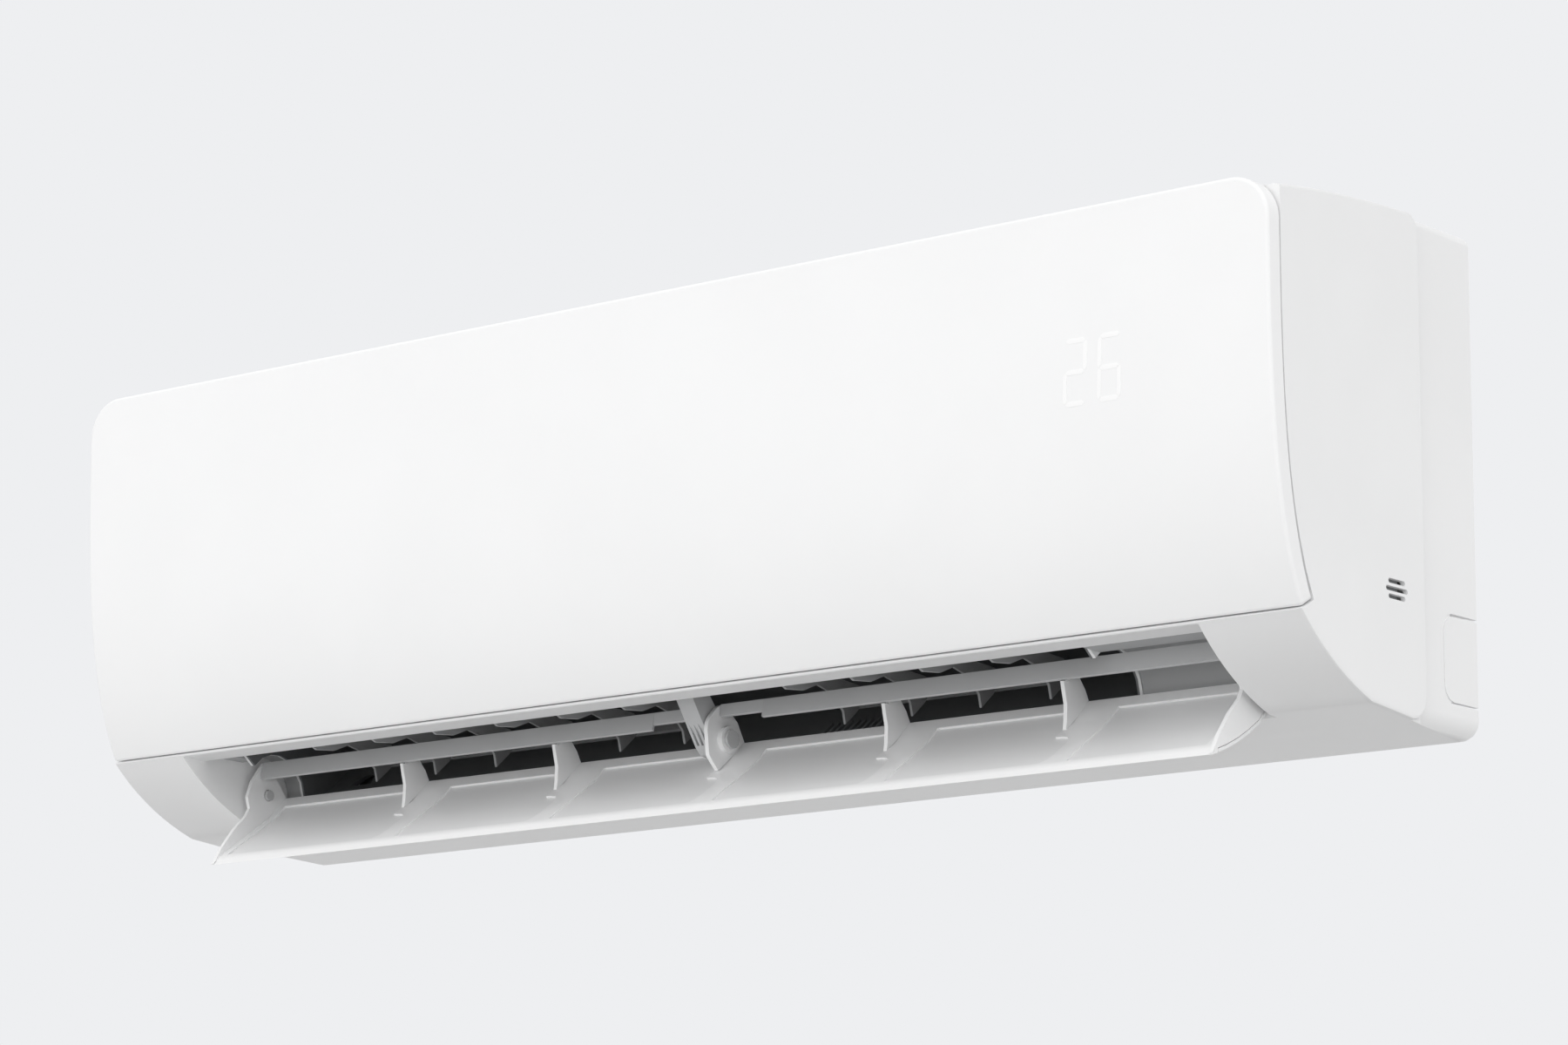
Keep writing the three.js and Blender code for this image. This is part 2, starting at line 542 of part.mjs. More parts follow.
function rearChassis() {
  const edgeLine = (inset) => [
    ...domePoints(-seamDepth, -14, 0.8 + inset, 2),
    ...rounded([
      [-10, domeHeight(-10) - 0.8 - inset], [inset, domeHeight(0) - 0.8 - inset, 4],
      [inset, bottomHeight(0) + 0.8 + inset, 7], [-seamDepth, bottomHeight(-seamDepth) + 0.8 + inset],
    ]),
  ];
  const backView = (inset) => rounded([
    [-chassisHalf + inset, -20, 0], [chassisHalf - inset, -20, 0],
    [chassisHalf - inset, topHeight - inset, 5], [-chassisHalf + inset, topHeight - inset, 5],
  ]);
  const corner = (side, inset) => alongY(rounded([
    [side * (chassisHalf - inset), bottomHeight(0) + inset, 12], [side * 300, bottomHeight(0) + inset],
    [side * 300, 120], [side * (chassisHalf - inset), 120],
  ]), -seamDepth - 1, 1);
  const body = (inset, fromY, toY) => {
    const full = alongX(edgeLine(inset), -chassisHalf, chassisHalf).intersect(alongY(backView(inset), fromY, toY));
    const middle = block(-300, 300, -200, 50, -50, 300);
    const upper = block(-400, 400, -200, 50, 100, 300);
    return full.intersect(join(middle, upper, corner(-1, inset), corner(1, inset)));
  };
  const shell = cut(
    body(0, -seamDepth, 0), body(wall, -seamDepth - 1, rearWall[0]), body(wall, rearWall[1], 1),
  );
  const lip = [-1, 1].map((side) => block(
    side > 0 ? chassisHalf - wall : -chassisHalf, side > 0 ? chassisHalf : wall - chassisHalf,
    -seamDepth - 14, -seamDepth + 1, 22, domeHeight(-seamDepth) - 14,
  ));
  const floorLow = (y) => bottomHeight(y) + wall + 0.5;
  const scrollLine = [
    v2(-57, 147), ...scroll(scrollStart, -69.5, 0, 12), v2(floorFront, floorHeight(floorFront)),
    v2(floorFront, floorHeight(floorFront) - scrollWall), v2(-88, floorLow(-88)), v2(-seamDepth, floorLow(-seamDepth)),
    v2(-seamDepth, 6), v2(rearWall[0], 4), v2(rearWall[0], troughHeight), v2(-50, troughHeight), v2(-55, 147),
  ];
  const scrollBlock = alongX(scrollLine, ductLeft - ductWall, ductRight + ductWall);
  const endLine = [
    ...scrollLine.slice(14, 16), ...scrollLine.slice(16, 19), v2(rearWall[0], troughHeight - 2),
    v2(-131 + 0.7, troughHeight - 2), v2(-131 + 0.7, 84), v2(-127.6, 84),
    v2(tongue[0] + 3.4, tongue[1] - 0.6), v2(tongue[0] + roofAcross.x * 3, tongue[1] + roofAcross.y * 3),
    v2(roofStart[0] + roofAlong.x * 14 + roofAcross.x * 0.5, roofStart[1] + roofAlong.y * 14 + roofAcross.y * 0.5),
    ...arc(hinge, hoodRadius, 140, -14, 8), v2(-90, 16),
  ];
  const endWalls = [ductLeft - ductWall, ductRight].map((x) => alongX(endLine, x, x + ductWall));
  const channelWalls = block(
    -chassisHalf + wall, chassisHalf - wall, -channel.depth - scrollWall, rearWall[1],
    channel.low - scrollWall, channel.high + scrollWall,
  );
  const channelRoom = block(
    -chassisHalf + wall, chassisHalf - wall, -channel.depth, 5, channel.low, channel.high,
  );
  const pocketLine = [
    ...scroll(38, -38, scrollWall, 7), v2(-channel.depth - scrollWall, channel.high + scrollWall),
    v2(5, channel.high + scrollWall), v2(5, troughHeight - scrollWall), v2(-50, troughHeight - scrollWall),
  ];
  const bays = 6;
  const bayWidth = (ductRight - ductLeft - scrollWall) / bays;
  const pockets = Array.from({ length: bays }, (_, k) => alongX(
    pocketLine, ductLeft + scrollWall + k * bayWidth, ductLeft + (k + 1) * bayWidth,
  ));
  const underFloor = alongX([
    v2(-84, floorLow(-84) + scrollWall), v2(-60, 30.5), v2(-48, 41), v2(-41, 52),
    v2(-channel.depth - 2 * scrollWall, 56), v2(-channel.depth - 2 * scrollWall, 9),
  ], ductLeft - 20, ductRight - 4);
  const fanOpening = alongX(circle(fanCentre, 18.4, 20), ductLeft - 10, ductLeft + 10);
  const motorOpening = alongX(circle(fanCentre, 18.4, 20), ductRight - 10, ductRight + 10);
  const pipeOpening = block(pipeX.gas - 8, pipeX.liquid + 5, -channel.depth + 0.5, rearWall[0] - 2,
    channel.high - 1, channel.high + scrollWall + 1);
  const drainOpening = rod([drainX, -60, drainZ], [drainX, -20, drainZ], 8 + clearance, 16);
  const knockSlits = [channel.low, channel.high - 1.1].map((z) =>
    block(chassisHalf - wall - 1, chassisHalf + 1, -24, 1, z, z + 1.1));
  const knockOutline = (inset) => rectangle(-channel.depth + inset, 20, channel.low + inset, channel.high - inset, 8);
  const knockGroove = cut(
    alongX(knockOutline(0), chassisHalf - 0.6, chassisHalf + 1), alongX(knockOutline(1.1), 0, width),
  );
  const pads = [-1, 1].flatMap((side) => [148, 205].map((z) =>
    block(side * 190 - 30, side * 190 + 30, rearWall[1] - 1, -plateThick - clearance, z, z + 6)));
  const combTeeth = Array.from({ length: 11 }, (_, k) => {
    const x = 38 + k * 4.4;
    return alongX([v2(-78, floorHeight(-78) - 1), v2(-62, floorHeight(-62) - 1), v2(-64, floorHeight(-64) + 4.5),
      v2(-77, floorHeight(-77) + 3)], x, x + 2);
  });
  let chassis = cut(join(shell, scrollBlock, ...endWalls, channelWalls, ...lip), ...pockets, underFloor);
  chassis = join(chassis, ...pads, ...combTeeth);
  chassis = cut(chassis, channelRoom, fanOpening, motorOpening, pipeOpening, drainOpening, ...knockSlits, knockGroove);
  addPiece('rear_chassis', chassis, white);
}

const pipePitch = 10.5;
const gasX = 254;
const pipeX = { gas: gasX, liquid: gasX + pipePitch };
const drainX = -300;
const drainZ = 34;
const plateThick = 1.2;

rearChassis();

// ---- crossflow fan: curved blades through carrying discs ----
function crossflowFan() {
  const bladeOuter = fanRadius;
  const bladeInner = fanRadius - 11;
  const discs = 4;
  const discThick = 2;
  const camber = 3.6;
  const middle = (bladeInner + bladeOuter) / 2;
  const blade = [[bladeInner, -0.6], [middle, camber], [bladeOuter - 1, 0.6], [middle, camber - 1.9]];
  const radialStep = 360 / fanBlades;
  const blades = Array.from({ length: fanBlades }, (_, k) => {
    const turn = THREE.MathUtils.degToRad(k * radialStep);
    const points = blade.map(([r, t]) => v2(r, t * 1.25).rotateAround(v2(0, 0), turn).add(v2(...fanCentre)));
    return alongX(points, fanLeft + 1, fanRight - 1);
  });
  const pitch = (fanRight - fanLeft - discThick) / (discs - 1);
  const plates = Array.from({ length: discs }, (_, k) => {
    const x = fanLeft + k * pitch;
    const end = k === 0 || k === discs - 1;
    const disc = alongX(circle(fanCentre, bladeOuter, 16), x, x + discThick);
    return end ? disc : cut(disc, alongX(circle(fanCentre, bladeInner - 3, 12), x - 1, x + 3));
  });
  const hubs = [[fanLeft, fanLeft + 16], [fanRight - 22, fanRight]].map(([from, to]) =>
    alongX(circle(fanCentre, 12, 12), from, to));
  const bores = [[fanLeft - 1, fanLeft + 14], [fanRight - 20, fanRight + 1]].map(([from, to]) =>
    alongX(circle(fanCentre, shaftRadius + clearance, 10), from, to));
  addPiece('crossflow_fan', cut(join(plates[0], ...plates.slice(1), ...blades, ...hubs), ...bores), dark);
}

const shaftRadius = 4;
crossflowFan();

const motorLeft = 252;
const motorRight = 300;
const motorRadius = 37;

function fanDrive() {
  const ring = (outer, inner, from, to, sides = 20) => cut(
    alongX(circle(fanCentre, outer, sides), from, to), alongX(circle(fanCentre, inner, sides), from - 1, to + 1),
  );
  const wallLeft = ductLeft - ductWall;
  addPiece('fan_shaft_left', alongX(circle(fanCentre, shaftRadius, 10), wallLeft - 6, fanLeft + 13), steel);
  const holder = join(
    ring(18.1, 13.2, wallLeft - clearance - 0.1, wallLeft + ductWall),
    ring(23, 13.2, wallLeft - 3, wallLeft - clearance),
  );
  addPiece('bearing_holder', cut(holder, ...[0, 120, 240].map((degrees) => {
    const [y, z] = arc(fanCentre, 20.6, degrees, degrees, 1)[0].toArray();
    return alongX(circle([y, z], 1.2, 6), wallLeft - 5, wallLeft + 5);
  })), duct);
  addPiece('fan_bearing', ring(13.2 - clearance, shaftRadius + clearance, wallLeft - 3.5, wallLeft + ductWall + 0.5), rubber);
  const profile = [
    [0, 0], [9, 0], [10, 3], [motorRadius - 6, 4], [motorRadius, 9], [motorRadius, 20], [motorRadius + 1.5, 20],
    [motorRadius + 1.5, 24], [motorRadius, 24], [motorRadius, 40], [motorRadius - 6, 45], [12, 46], [11, 48], [0, 48],
  ].map(([r, along]) => v2(r, along));
  const bell = new THREE.LatheGeometry(profile, 18);
  bell.rotateZ(-Math.PI / 2).translate(motorLeft, ...fanCentre);
  const bore = alongX(circle(fanCentre, shaftRadius + clearance, 10), motorLeft - 1, motorLeft + 22);
  addPiece('fan_motor', cut(toSolid(bell), bore), steel);
  addPiece('motor_shaft', alongX(circle(fanCentre, shaftRadius, 10), fanRight - 19, motorLeft + 20), steel);
  const saddle = [motorLeft + 26, motorLeft + 38];
  const arm = block(...saddle, fanCentre[0], rearWall[0] - clearance, fanCentre[1] - 9, fanCentre[1] + 9);
  const foot = block(saddle[0] - 6, saddle[1] + 6, rearWall[0] - 3, rearWall[0] - clearance,
    fanCentre[1] - 22, fanCentre[1] + 22);
  const band = alongX(circle(fanCentre, motorRadius + 4, 24), ...saddle);
  addPiece('motor_bracket', cut(
    join(band, arm, foot), alongX(circle(fanCentre, motorRadius + clearance, 24), saddle[0] - 1, saddle[1] + 1),
  ), duct);
}

fanDrive();

// ---- evaporator: three finned sections round the fan, between two end plates ----
const finLeft = -320;
const finRight = 240;
const coilThick = 24;
const apex = -97;
const coils = {
  evaporator_lower: coilOutline([-155.5, 77], [-155.5, 160]),
  evaporator_upper: coilOutline([-158, 165], [apex - 1.2, 235.5]),
  evaporator_rear: coilOutline([apex + 1.2, 235.5], [-30, 158]),
};

// outer face from one point to another, the coil's thickness inwards, cut upright at the apex
function coilOutline(from, to) {
  const start = v2(...from);
  const end = v2(...to);
  const along = end.clone().sub(start).normalize();
  const inward = v2(along.y, -along.x).multiplyScalar(coilThick);
  const [nearStart, nearEnd] = [start.clone().add(inward), end.clone().add(inward)];
  if (from[0] === to[0]) {
    return [start, end, v2(end.x + 4.5, end.y - 8), v2(nearEnd.x, nearEnd.y - 21), nearStart];
  }
  const drop = coilThick / Math.abs(along.x);
  return to[0] < apex
    ? [start, end, v2(end.x, end.y - drop), nearStart]
    : [start, end, nearEnd, v2(start.x, start.y - drop)];
}

function evaporator() {
  const fins = 14;
  const finPitch = (finRight - finLeft) / fins;
  const gap = 5;
  for (const [name, outline] of Object.entries(coils)) {
    const middle = outline.reduce((sum, p) => sum.add(p), v2(0, 0)).divideScalar(outline.length);
    const shrunk = outline.map((p) => middle.clone().lerp(p, 0.86));
    const comb = [v2(finLeft, 1), v2(finLeft, -1)];
    for (let k = 0; k < fins; k += 1) {
      const x = finLeft + k * finPitch;
      comb.push(v2(x + finPitch - gap, -1), v2(x + finPitch - gap, 1));
    }
    const core = alongX(shrunk, finLeft, finRight);
    const leaves = Array.from({ length: fins }, (_, k) => {
      const x = finLeft + k * finPitch;
      return alongX(outline, x, x + finPitch - gap + (k === fins - 1 ? gap : 0));
    });
    addPiece(name, join(core, ...leaves), finMetal);
  }
  endPlate('coil_end_plate_left', finLeft - clearance, -1);
  endPlate('coil_end_plate_right', finRight + clearance, 1);
}

// sheet plate over the ends of the three coils, with the tubes' return bends on its outside
function endPlate(name, x, side) {
  const plate = [v2(-157, 84.2), v2(-160.5, 165), v2(apex, 238.5), v2(-27.5, 158), v2(-49, 141.5),
    v2(apex, 198), v2(-131.4, 146), v2(-131.4, 84.2)];
  const sheet = alongX(plate, Math.min(x, x + side * 1.2), Math.max(x, x + side * 1.2));
  const bends = Object.values(coils).flatMap((outline) => {
    const low = outline[0].clone().lerp(outline[outline.length - 1], 0.5);
    const high = outline[1].clone().lerp(outline[2], 0.5);
    const step = high.clone().sub(low);
    return [0.28, 0.72].map((place) => returnBend(x + side, side, low.clone().lerp(high, place), step));
  });
  addPiece(name, join(sheet, ...bends), finMetal);
}

function returnBend(x, side, centre, direction) {
  const along = direction.clone().normalize();
  const reach = 9;
  const path = new THREE.CatmullRomCurve3([-1, -0.8, 0, 0.8, 1].map((place, k) => new THREE.Vector3(
    x + side * [0, 7, 10, 7, 0][k], centre.x + along.x * reach * place, centre.y + along.y * reach * place,
  )));
  const section = circle([0, 0], 3, 5);
  return toSolid(new THREE.ExtrudeGeometry(new THREE.Shape(section), {
    steps: 5, bevelEnabled: false, extrudePath: path,
  }));
}

evaporator();

// ---- louver, drawn closed in the flank's profile and opened about its axis ----
const louverMiddle = (outletLeft + outletRight) / 2;
const louverHalf = (outletRight - outletLeft) / 2 - louverGap;
const strutPitch = louverHalf / 3;
const louver = new THREE.Group();
const turned = (points) => points.map((p) =>
  p.clone().rotateAround(v2(...hinge), THREE.MathUtils.degToRad(openAngle)));

// a line of points moved sideways, to the left of its direction
function shifted(points, depth) {
  return points.map((p, i) => {
    const before = points[Math.max(i - 1, 0)];
    const after = points[Math.min(i + 1, points.length - 1)];
    const along = after.clone().sub(before).normalize();
    return v2(p.x - along.y * depth, p.y + along.x * depth);
  });
}

function openedSolid(solid) {
  return solid.translate([0, -hinge[0], -hinge[1]]).rotate([openAngle, 0, 0]).translate([0, hinge[0], hinge[1]]);
}

function louverPieces() {
  const [left, right] = [louverMiddle - louverHalf, louverMiddle + louverHalf];
  const outside = [0.13, 0.25, 0.4, 0.55, 0.7].map((t) => flankCurve.getPoint(t));
  outside.push(v2(-116, 13), v2(-106, 12.2));
  const skinLine = [...outside, ...shifted(outside, 1.8).reverse()];
  addPiece('louver_skin', alongX(turned(skinLine), left, right), white, louver);
  const lip = [0.05, 0.12].map((t) => flankCurve.getPoint(t));
  const trayLine = [...lip, ...shifted(outside, 1.8 + clearance), v2(-105, 12.4), v2(-99, 12.8), v2(-96.5, 15),
    v2(-113.2, 19.8), v2(-130.5, 28.2), v2(-147, 36.6), v2(-156, 40.6)];
  const pocketSlab = turned([
    v2(-153.6, 38.6), v2(-146.5, 35.5), v2(-130.2, 27), v2(-113, 18.6), v2(-104, 16), v2(-104, 24), v2(-150, 46),
  ]);
  const endRim = 7;
  const [web, lobeReach, lobeRound] = [22.7, 10.5, 8];
  const pockets = Array.from({ length: 6 }, (_, k) => alongX(
    pocketSlab, left + k * strutPitch + (k > 0 ? web : endRim), left + (k + 1) * strutPitch - (k < 5 ? 1.1 : endRim),
  ));
  const lobes = [1, 2, 3, 4, 5].map((k) => {
    const x = left + k * strutPitch;
    const plan = rounded([
      [x - 12, -154], [x + lobeReach, -154, lobeRound], [x + lobeReach, -127, lobeRound], [x - 12, -127],
    ]);
    return openedSolid(alongZ(plan, 0, 60)).intersect(alongX(pocketSlab, x - 12, x + lobeReach + 1));
  });
  const tray = cut(alongX(turned(trayLine), left, right), ...pockets, ...lobes);
  const strut = [v2(-96.5, 14), v2(-121, 23), v2(-116.5, 24.6), v2(-109, 28.4), v2(-104.2, 33),
    v2(-99.2, 37.6), v2(-91.5, 38.2), v2(-90.6, 33), v2(-90.9, 26.5), v2(-93, 20)];
  const struts = [-2, -1, 1, 2].map((k) =>
    alongX(turned(strut), louverMiddle + k * strutPitch - 1.1, louverMiddle + k * strutPitch + 1.1));
  const bladeSeat = alongX([v2(-111.4, 34.6), v2(-106.3, 34.4), v2(-106, 47), v2(-109.4, 47)], left + 3, right - 3);
  const endOutline = [v2(-96.5, 14), v2(-130, 26), v2(-158, 41), v2(-160.6, 41.6), v2(-150, 41.2),
    v2(-134.8, 38.6), v2(-124, 35.2), v2(-118, 35), v2(-113.5, 39.6), v2(-104, 41.2), v2(-90, 39.4), v2(-88.5, 34)];
  const ends = [left, right - 2.2].map((x) => alongX(turned(endOutline), x, x + 2.2));
  const ear = rounded([[-96, 13.5], [-121, 24], [-118.5, 34, 4], [-104, 44.5, 10], [-88, 39.5, 6], [-90, 24]]);
  const earX = louverMiddle + 1.6;
  const armX = earX - 13;
  const earPlate = alongX(turned(ear.map((p) => v2(p.x, p.y))), earX - 1.2, earX + 1.2);
  const boss = alongX(circle(hinge, 7, 16), earX, earX + 4);
  const bushes = [[left - 1.5, left + 2.2], [right - 2.2, right + 1.5]].map(([from, to]) =>
    alongX(circle(hinge, 7, 16), from, to));
  const bores = [[left - 3, left + 5, 3], [right - 5, right + 3, 2.5], [earX - 3, earX + 6, 3]].map(([from, to, r]) =>
    alongX(circle(hinge, r + clearance, 12), from, to));
  addPiece('louver_frame', cut(join(tray, ...struts.map((part) => cut(part, bladeSeat)), ...ends, earPlate, boss, ...bushes), ...bores), white, louver);
  const bladeStep = 3;
  const bladeLine = (low) => [
    v2(-109.2 - low * 0.4, 38.6 - low), v2(-107.4 - low * 0.4, 38 - low), v2(-106.9, 44.3), v2(-108.4, 45),
  ];
  const raised = 30; // the blades' lower edges step up this far from the middle
  addPiece('louver_blade_left', join(
    alongX(bladeLine(0), left + 2.5, armX - 2), alongX(bladeLine(bladeStep), left + 2.5, armX - raised),
  ), duct, louver);
  addPiece('louver_blade_right', join(
    alongX(bladeLine(0), earX + 1.5, right - 2.5), alongX(bladeLine(bladeStep), earX + raised, right - 2.5),
  ), duct, louver);
  addPiece('louver_bush', cut(
    join(alongX(circle(hinge, 2.95, 12), outletLeft - wall - 3, left + 4),
      alongX(circle(hinge, 4.9, 16), outletLeft - wall - 3, outletLeft - 0.4),
      alongX(circle(hinge, 8, 16), outletLeft - wall - 4.4, outletLeft - wall - clearance)),
  ), duct);
  addPiece('louver_motor_shaft', alongX(circle(hinge, 2.45, 12), right - 4, outletRight + wall + 8), steel, louver);
  addPiece('louver_motor', cut(join(
    alongX(circle(hinge, 14, 18), outletRight + wall + clearance, outletRight + wall + 19),
    block(outletRight + wall + clearance, outletRight + wall + 1.6, hinge[0] - 4, hinge[0] + 4, hinge[1] - 2, hinge[1] + 21),
    block(outletRight + wall + 6, outletRight + wall + 17, hinge[0] - 7, hinge[0] + 7, hinge[1] + 10, hinge[1] + 18),
  ), alongX(circle(hinge, 2.8, 12), outletRight, outletRight + wall + 9)), steel);
  const armLine = [v2(-131, 53), v2(-124, 62), v2(-99.5, 34), ...arc(hinge, 8.2, 60, -150, 6)];
  const grooves = [0, 1, 2].map((k) => alongX([
    v2(-147, 54), v2(-143, 58), v2(-109, 25.4), v2(-113, 23),
  ], armX + 1.6 + k * 3, armX + 3 + k * 3));
  addPiece('louver_arm', cut(alongX(armLine, armX, armX + 11), ...grooves,
    alongX(circle(hinge, 3 + clearance, 12), armX - 1, armX + 14)), duct);
  addPiece('louver_pin', join(
    alongX(circle(hinge, 2.95, 12), armX + 0.5, earX + 6), alongX(circle(hinge, 5, 12), earX + 4.3, earX + 6),
  ), duct);
}

louverPieces();
unit.add(louver);

// ---- electrics, in the bay right of the fan ----
const boxLeft = 316;
const boxRight = width / 2 - 10.5;
const boxFront = -150;
const boxBack = -64;
const boxLow = 85;
const boxHigh = 226;

function electrics() {
  const outer = rounded([
    [boxFront, boxLow, 4], [boxBack, boxLow, 4], [boxBack, boxHigh - 18, 4], [boxBack - 22, boxHigh, 4],
    [boxFront + 10, boxHigh, 4], [boxFront, boxHigh - 14, 4],
  ]);
  const middle = v2((boxFront + boxBack) / 2, (boxLow + boxHigh) / 2);
  const inner = outer.map((p) => v2(
    middle.x + (p.x - middle.x) * (1 - 3 / (boxBack - middle.x)),
    middle.y + (p.y - middle.y) * (1 - 3 / (boxHigh - middle.y)),
  ));
  const legs = [96, 190].map((z) => block(boxLeft, boxLeft + 12, boxBack - 2, rearWall[0] - clearance, z, z + 5));
  const flap = block(boxLeft, boxLeft + 12, rearWall[0] - 2.3, rearWall[0] - clearance, 92, 199);
  const posts = [[-140, 92], [-140, 205], [-76, 92], [-76, 200]].map(([y, z]) =>
    alongX(circle([y, z], 2.4, 6), boxLeft + 1, boxLeft + 8));
  const wireNotch = block(boxRight - 12, boxRight + 1, boxFront - 1, boxFront + 4, 150, 176);
  const box = cut(
    join(alongX(outer, boxLeft, boxRight), ...legs, flap),
    alongX(inner, boxLeft + 2, boxRight + 1), wireNotch,
  );
  addPiece('electrical_box', join(box, ...posts), duct);
  const lid = alongX(outer, boxRight + clearance, boxRight + 2);
  const rim = cut(
    alongX(inner.map((p) => p.clone().lerp(middle, 0.012)), boxRight - 5, boxRight + 1),
    alongX(inner.map((p) => p.clone().lerp(middle, 0.045)), boxRight - 6, boxRight + clearance),
  );
  addPiece('electrical_box_cover', join(lid, rim), duct);
  const boardX = boxLeft + 8 + clearance;
  const parts = [
    block(boardX + 1, boardX + 17, -134, -118, 150, 170), // relay
    block(boardX + 1, boardX + 24, -108, -92, 106, 128), // transformer
    alongX(circle([-122, 118], 7.5, 10), boardX + 1, boardX + 30), // smoothing capacitor
    block(boardX + 1, boardX + 11, -104, -84, 160, 196), // heat sink
    block(boardX + 1, boardX + 9, -138, -126, 186, 200), // socket of the fan lead
    block(boardX + 1, boardX + 9, -96, -78, 138, 146), // socket of the sensors
  ];
  addPiece('control_board', join(alongX(rectangle(-144, -72, 90, 209), boardX, boardX + 1.6), ...parts), boardGreen);
  const terminalZ = [boxLow - 32, boxLow - clearance];
  const terminals = Array.from({ length: 4 }, (_, k) => -142 + k * 15);
  const body = block(boxLeft + 24, boxRight - 5, -146, -88, ...terminalZ);
  const wells = terminals.map((y) => block(boxRight - 14, boxRight, y, y + 11, terminalZ[0] + 8, terminalZ[0] + 20));
  const entries = terminals.map((y) => block(boxRight - 22, boxRight, y + 2, y + 9, terminalZ[0] - 1, terminalZ[0] + 4));
  const screws = terminals.map((y) => alongX(circle([y + 5.5, terminalZ[0] + 14], 3.6, 8), boxRight - 15, boxRight - 9));
  addPiece('terminal_block', join(cut(body, ...wells, ...entries), ...screws), dark);
}

electrics();

// ---- temperature display behind the panel, with its own small board ----
function display() {
  const back = -casingDepth + returnDepth + panelGap - clearance;
  const board = alongY(rectangle(266, 314.5, 145, 189, 3), back - 1.6, back);
  const screen = alongY(rectangle(271.5, 309, 149, 184, 2), -casingDepth + panelWall + 2, back - 1);
  const digitWalls = [[274, 289], [291.5, 306.5]].flatMap(([left, right]) => [[150.5, 164], [166.5, 180]].map(([low, high]) =>
    alongY(rectangle(left + 3, right - 3, low + 1.5, high - 1.5), -casingDepth, -casingDepth + panelWall + 3)));
  addPiece('display_board', join(cut(screen, ...digitWalls), board), dark);
}

display();

// ---- emergency button on the casing front, its switch behind ----
const buttonStroke = 1;
const buttonSunk = 0.8;
const button = new THREE.Group();

function auxButton() {
  const face = casingFrontAt(buttonZ);
  const cap = alongY(circle([buttonX, buttonZ], 2.8, 12), face + buttonSunk, face + wall + 2);
  const collar = alongY(circle([buttonX, buttonZ], 4.6, 12), face + wall + 1, face + wall + 2);
  addPiece('aux_button', join(cap, collar), duct, button);
  const at = face + wall + 2 + buttonStroke + 0.3;
  const body = block(buttonX - 4, buttonX + 4, at + 0.8, at + 5, buttonZ - 4, buttonZ + 4);
  const stem = alongY(circle([buttonX, buttonZ], 1.6, 8), at, at + 1);
  const board = block(buttonX - 12, buttonX + 8, at + 4.5, at + 6, buttonZ - 9, buttonZ + 16);
  const posts = [-7, 12].map((up) => alongY(circle([buttonX - 9, buttonZ + up], 1.8, 8),
    casingFrontAt(buttonZ + up - 2) + wall + clearance, at + 5));
  addPiece('aux_switch', join(body, stem, board, ...posts), boardGreen);
}

// y of the casing's front face behind the panel at a height
function casingFrontAt(height) {
  return facePoints(casingFront, height - 1, height + 1, 24)[0].x;
}

auxButton();
unit.add(button);

// ---- sensors ----
const sensorDeep = 7.7;
const sensorBack = width / 2 - wall - clearance; // against the inside of the right side
addPiece('room_sensor', join(
  block(sensorBack - sensorDeep, sensorBack, -86, -76, 58, 70),
  alongX(circle([-81, 64], 2, 8), sensorBack - sensorDeep - 5, sensorBack - sensorDeep + 1),
), duct);
const sensorPlace = [-42.3, 176.8]; // on the back of the rear coil
addPiece('coil_sensor', join(
  rod([196, ...sensorPlace], [222, ...sensorPlace], 2.6, 8),
  rod([222, ...sensorPlace], [236, ...sensorPlace], 1.2, 6),
), copper);

// ---- refrigerant pipes, down the back of the right bay and along the recess ----
const pipeDepth = -20;

function bentRod(path, radius, sides, steps) {
  const curve = new THREE.CurvePath();
  path.forEach((place, k) => {
    const here = new THREE.Vector3(...place);
    if (k === 0 || k === path.length - 1) {
      return;
    }
    const before = new THREE.Vector3(...path[k - 1]);
    const after = new THREE.Vector3(...path[k + 1]);
    const bend = 14;
    const enter = here.clone().add(before.clone().sub(here).setLength(bend));
    const leave = here.clone().add(after.clone().sub(here).setLength(bend));
    const last = curve.curves.length ? curve.curves[curve.curves.length - 1].getPoint(1) : before;
    curve.add(new THREE.LineCurve3(last, enter));
    curve.add(new THREE.QuadraticBezierCurve3(enter, here, leave));
    if (k === path.length - 2) {
      curve.add(new THREE.LineCurve3(leave, after));
    }
  });
  return toSolid(tube(curve, radius, sides, steps));
}

// swept along lines and bends, with a ring at each end of every line and inside every bend
function tube(curve, radius, sides, steps) {
  const places = [];
  curve.curves.forEach((piece) => {
    const straight = piece.isLineCurve3;
    const count = straight ? 1 : steps;
    for (let k = places.length ? 1 : 0; k <= count; k += 1) {
      places.push({ at: piece.getPoint(k / count), along: piece.getTangent(k / count) });
    }
  });
  const positions = [];
  let across = axisY.clone();
  places.forEach(({ at, along }) => {
    across = across.clone().addScaledVector(along, -across.dot(along)).normalize();
    const up = along.clone().cross(across);
    for (let k = 0; k < sides; k += 1) {
      const angle = 2 * Math.PI * k / sides;
      const p = at.clone().addScaledVector(across, radius * Math.cos(angle)).addScaledVector(up, radius * Math.sin(angle));
      positions.push(p.x, p.y, p.z);
    }
  });
  const faces = [];
  places.slice(1).forEach((_, ring) => {
    for (let k = 0; k < sides; k += 1) {
      const [a, b] = [ring * sides + k, ring * sides + (k + 1) % sides];
      faces.push(a, b, b + sides, a, b + sides, a + sides);
    }
  });
  for (let k = 1; k + 1 < sides; k += 1) {
    const end = (places.length - 1) * sides;
    faces.push(0, k + 1, k, end, end + k, end + k + 1);
  }
  const geometry = new THREE.BufferGeometry();
  geometry.setAttribute('position', new THREE.Float32BufferAttribute(positions, 3));
  geometry.setIndex(faces);
  return geometry;
}

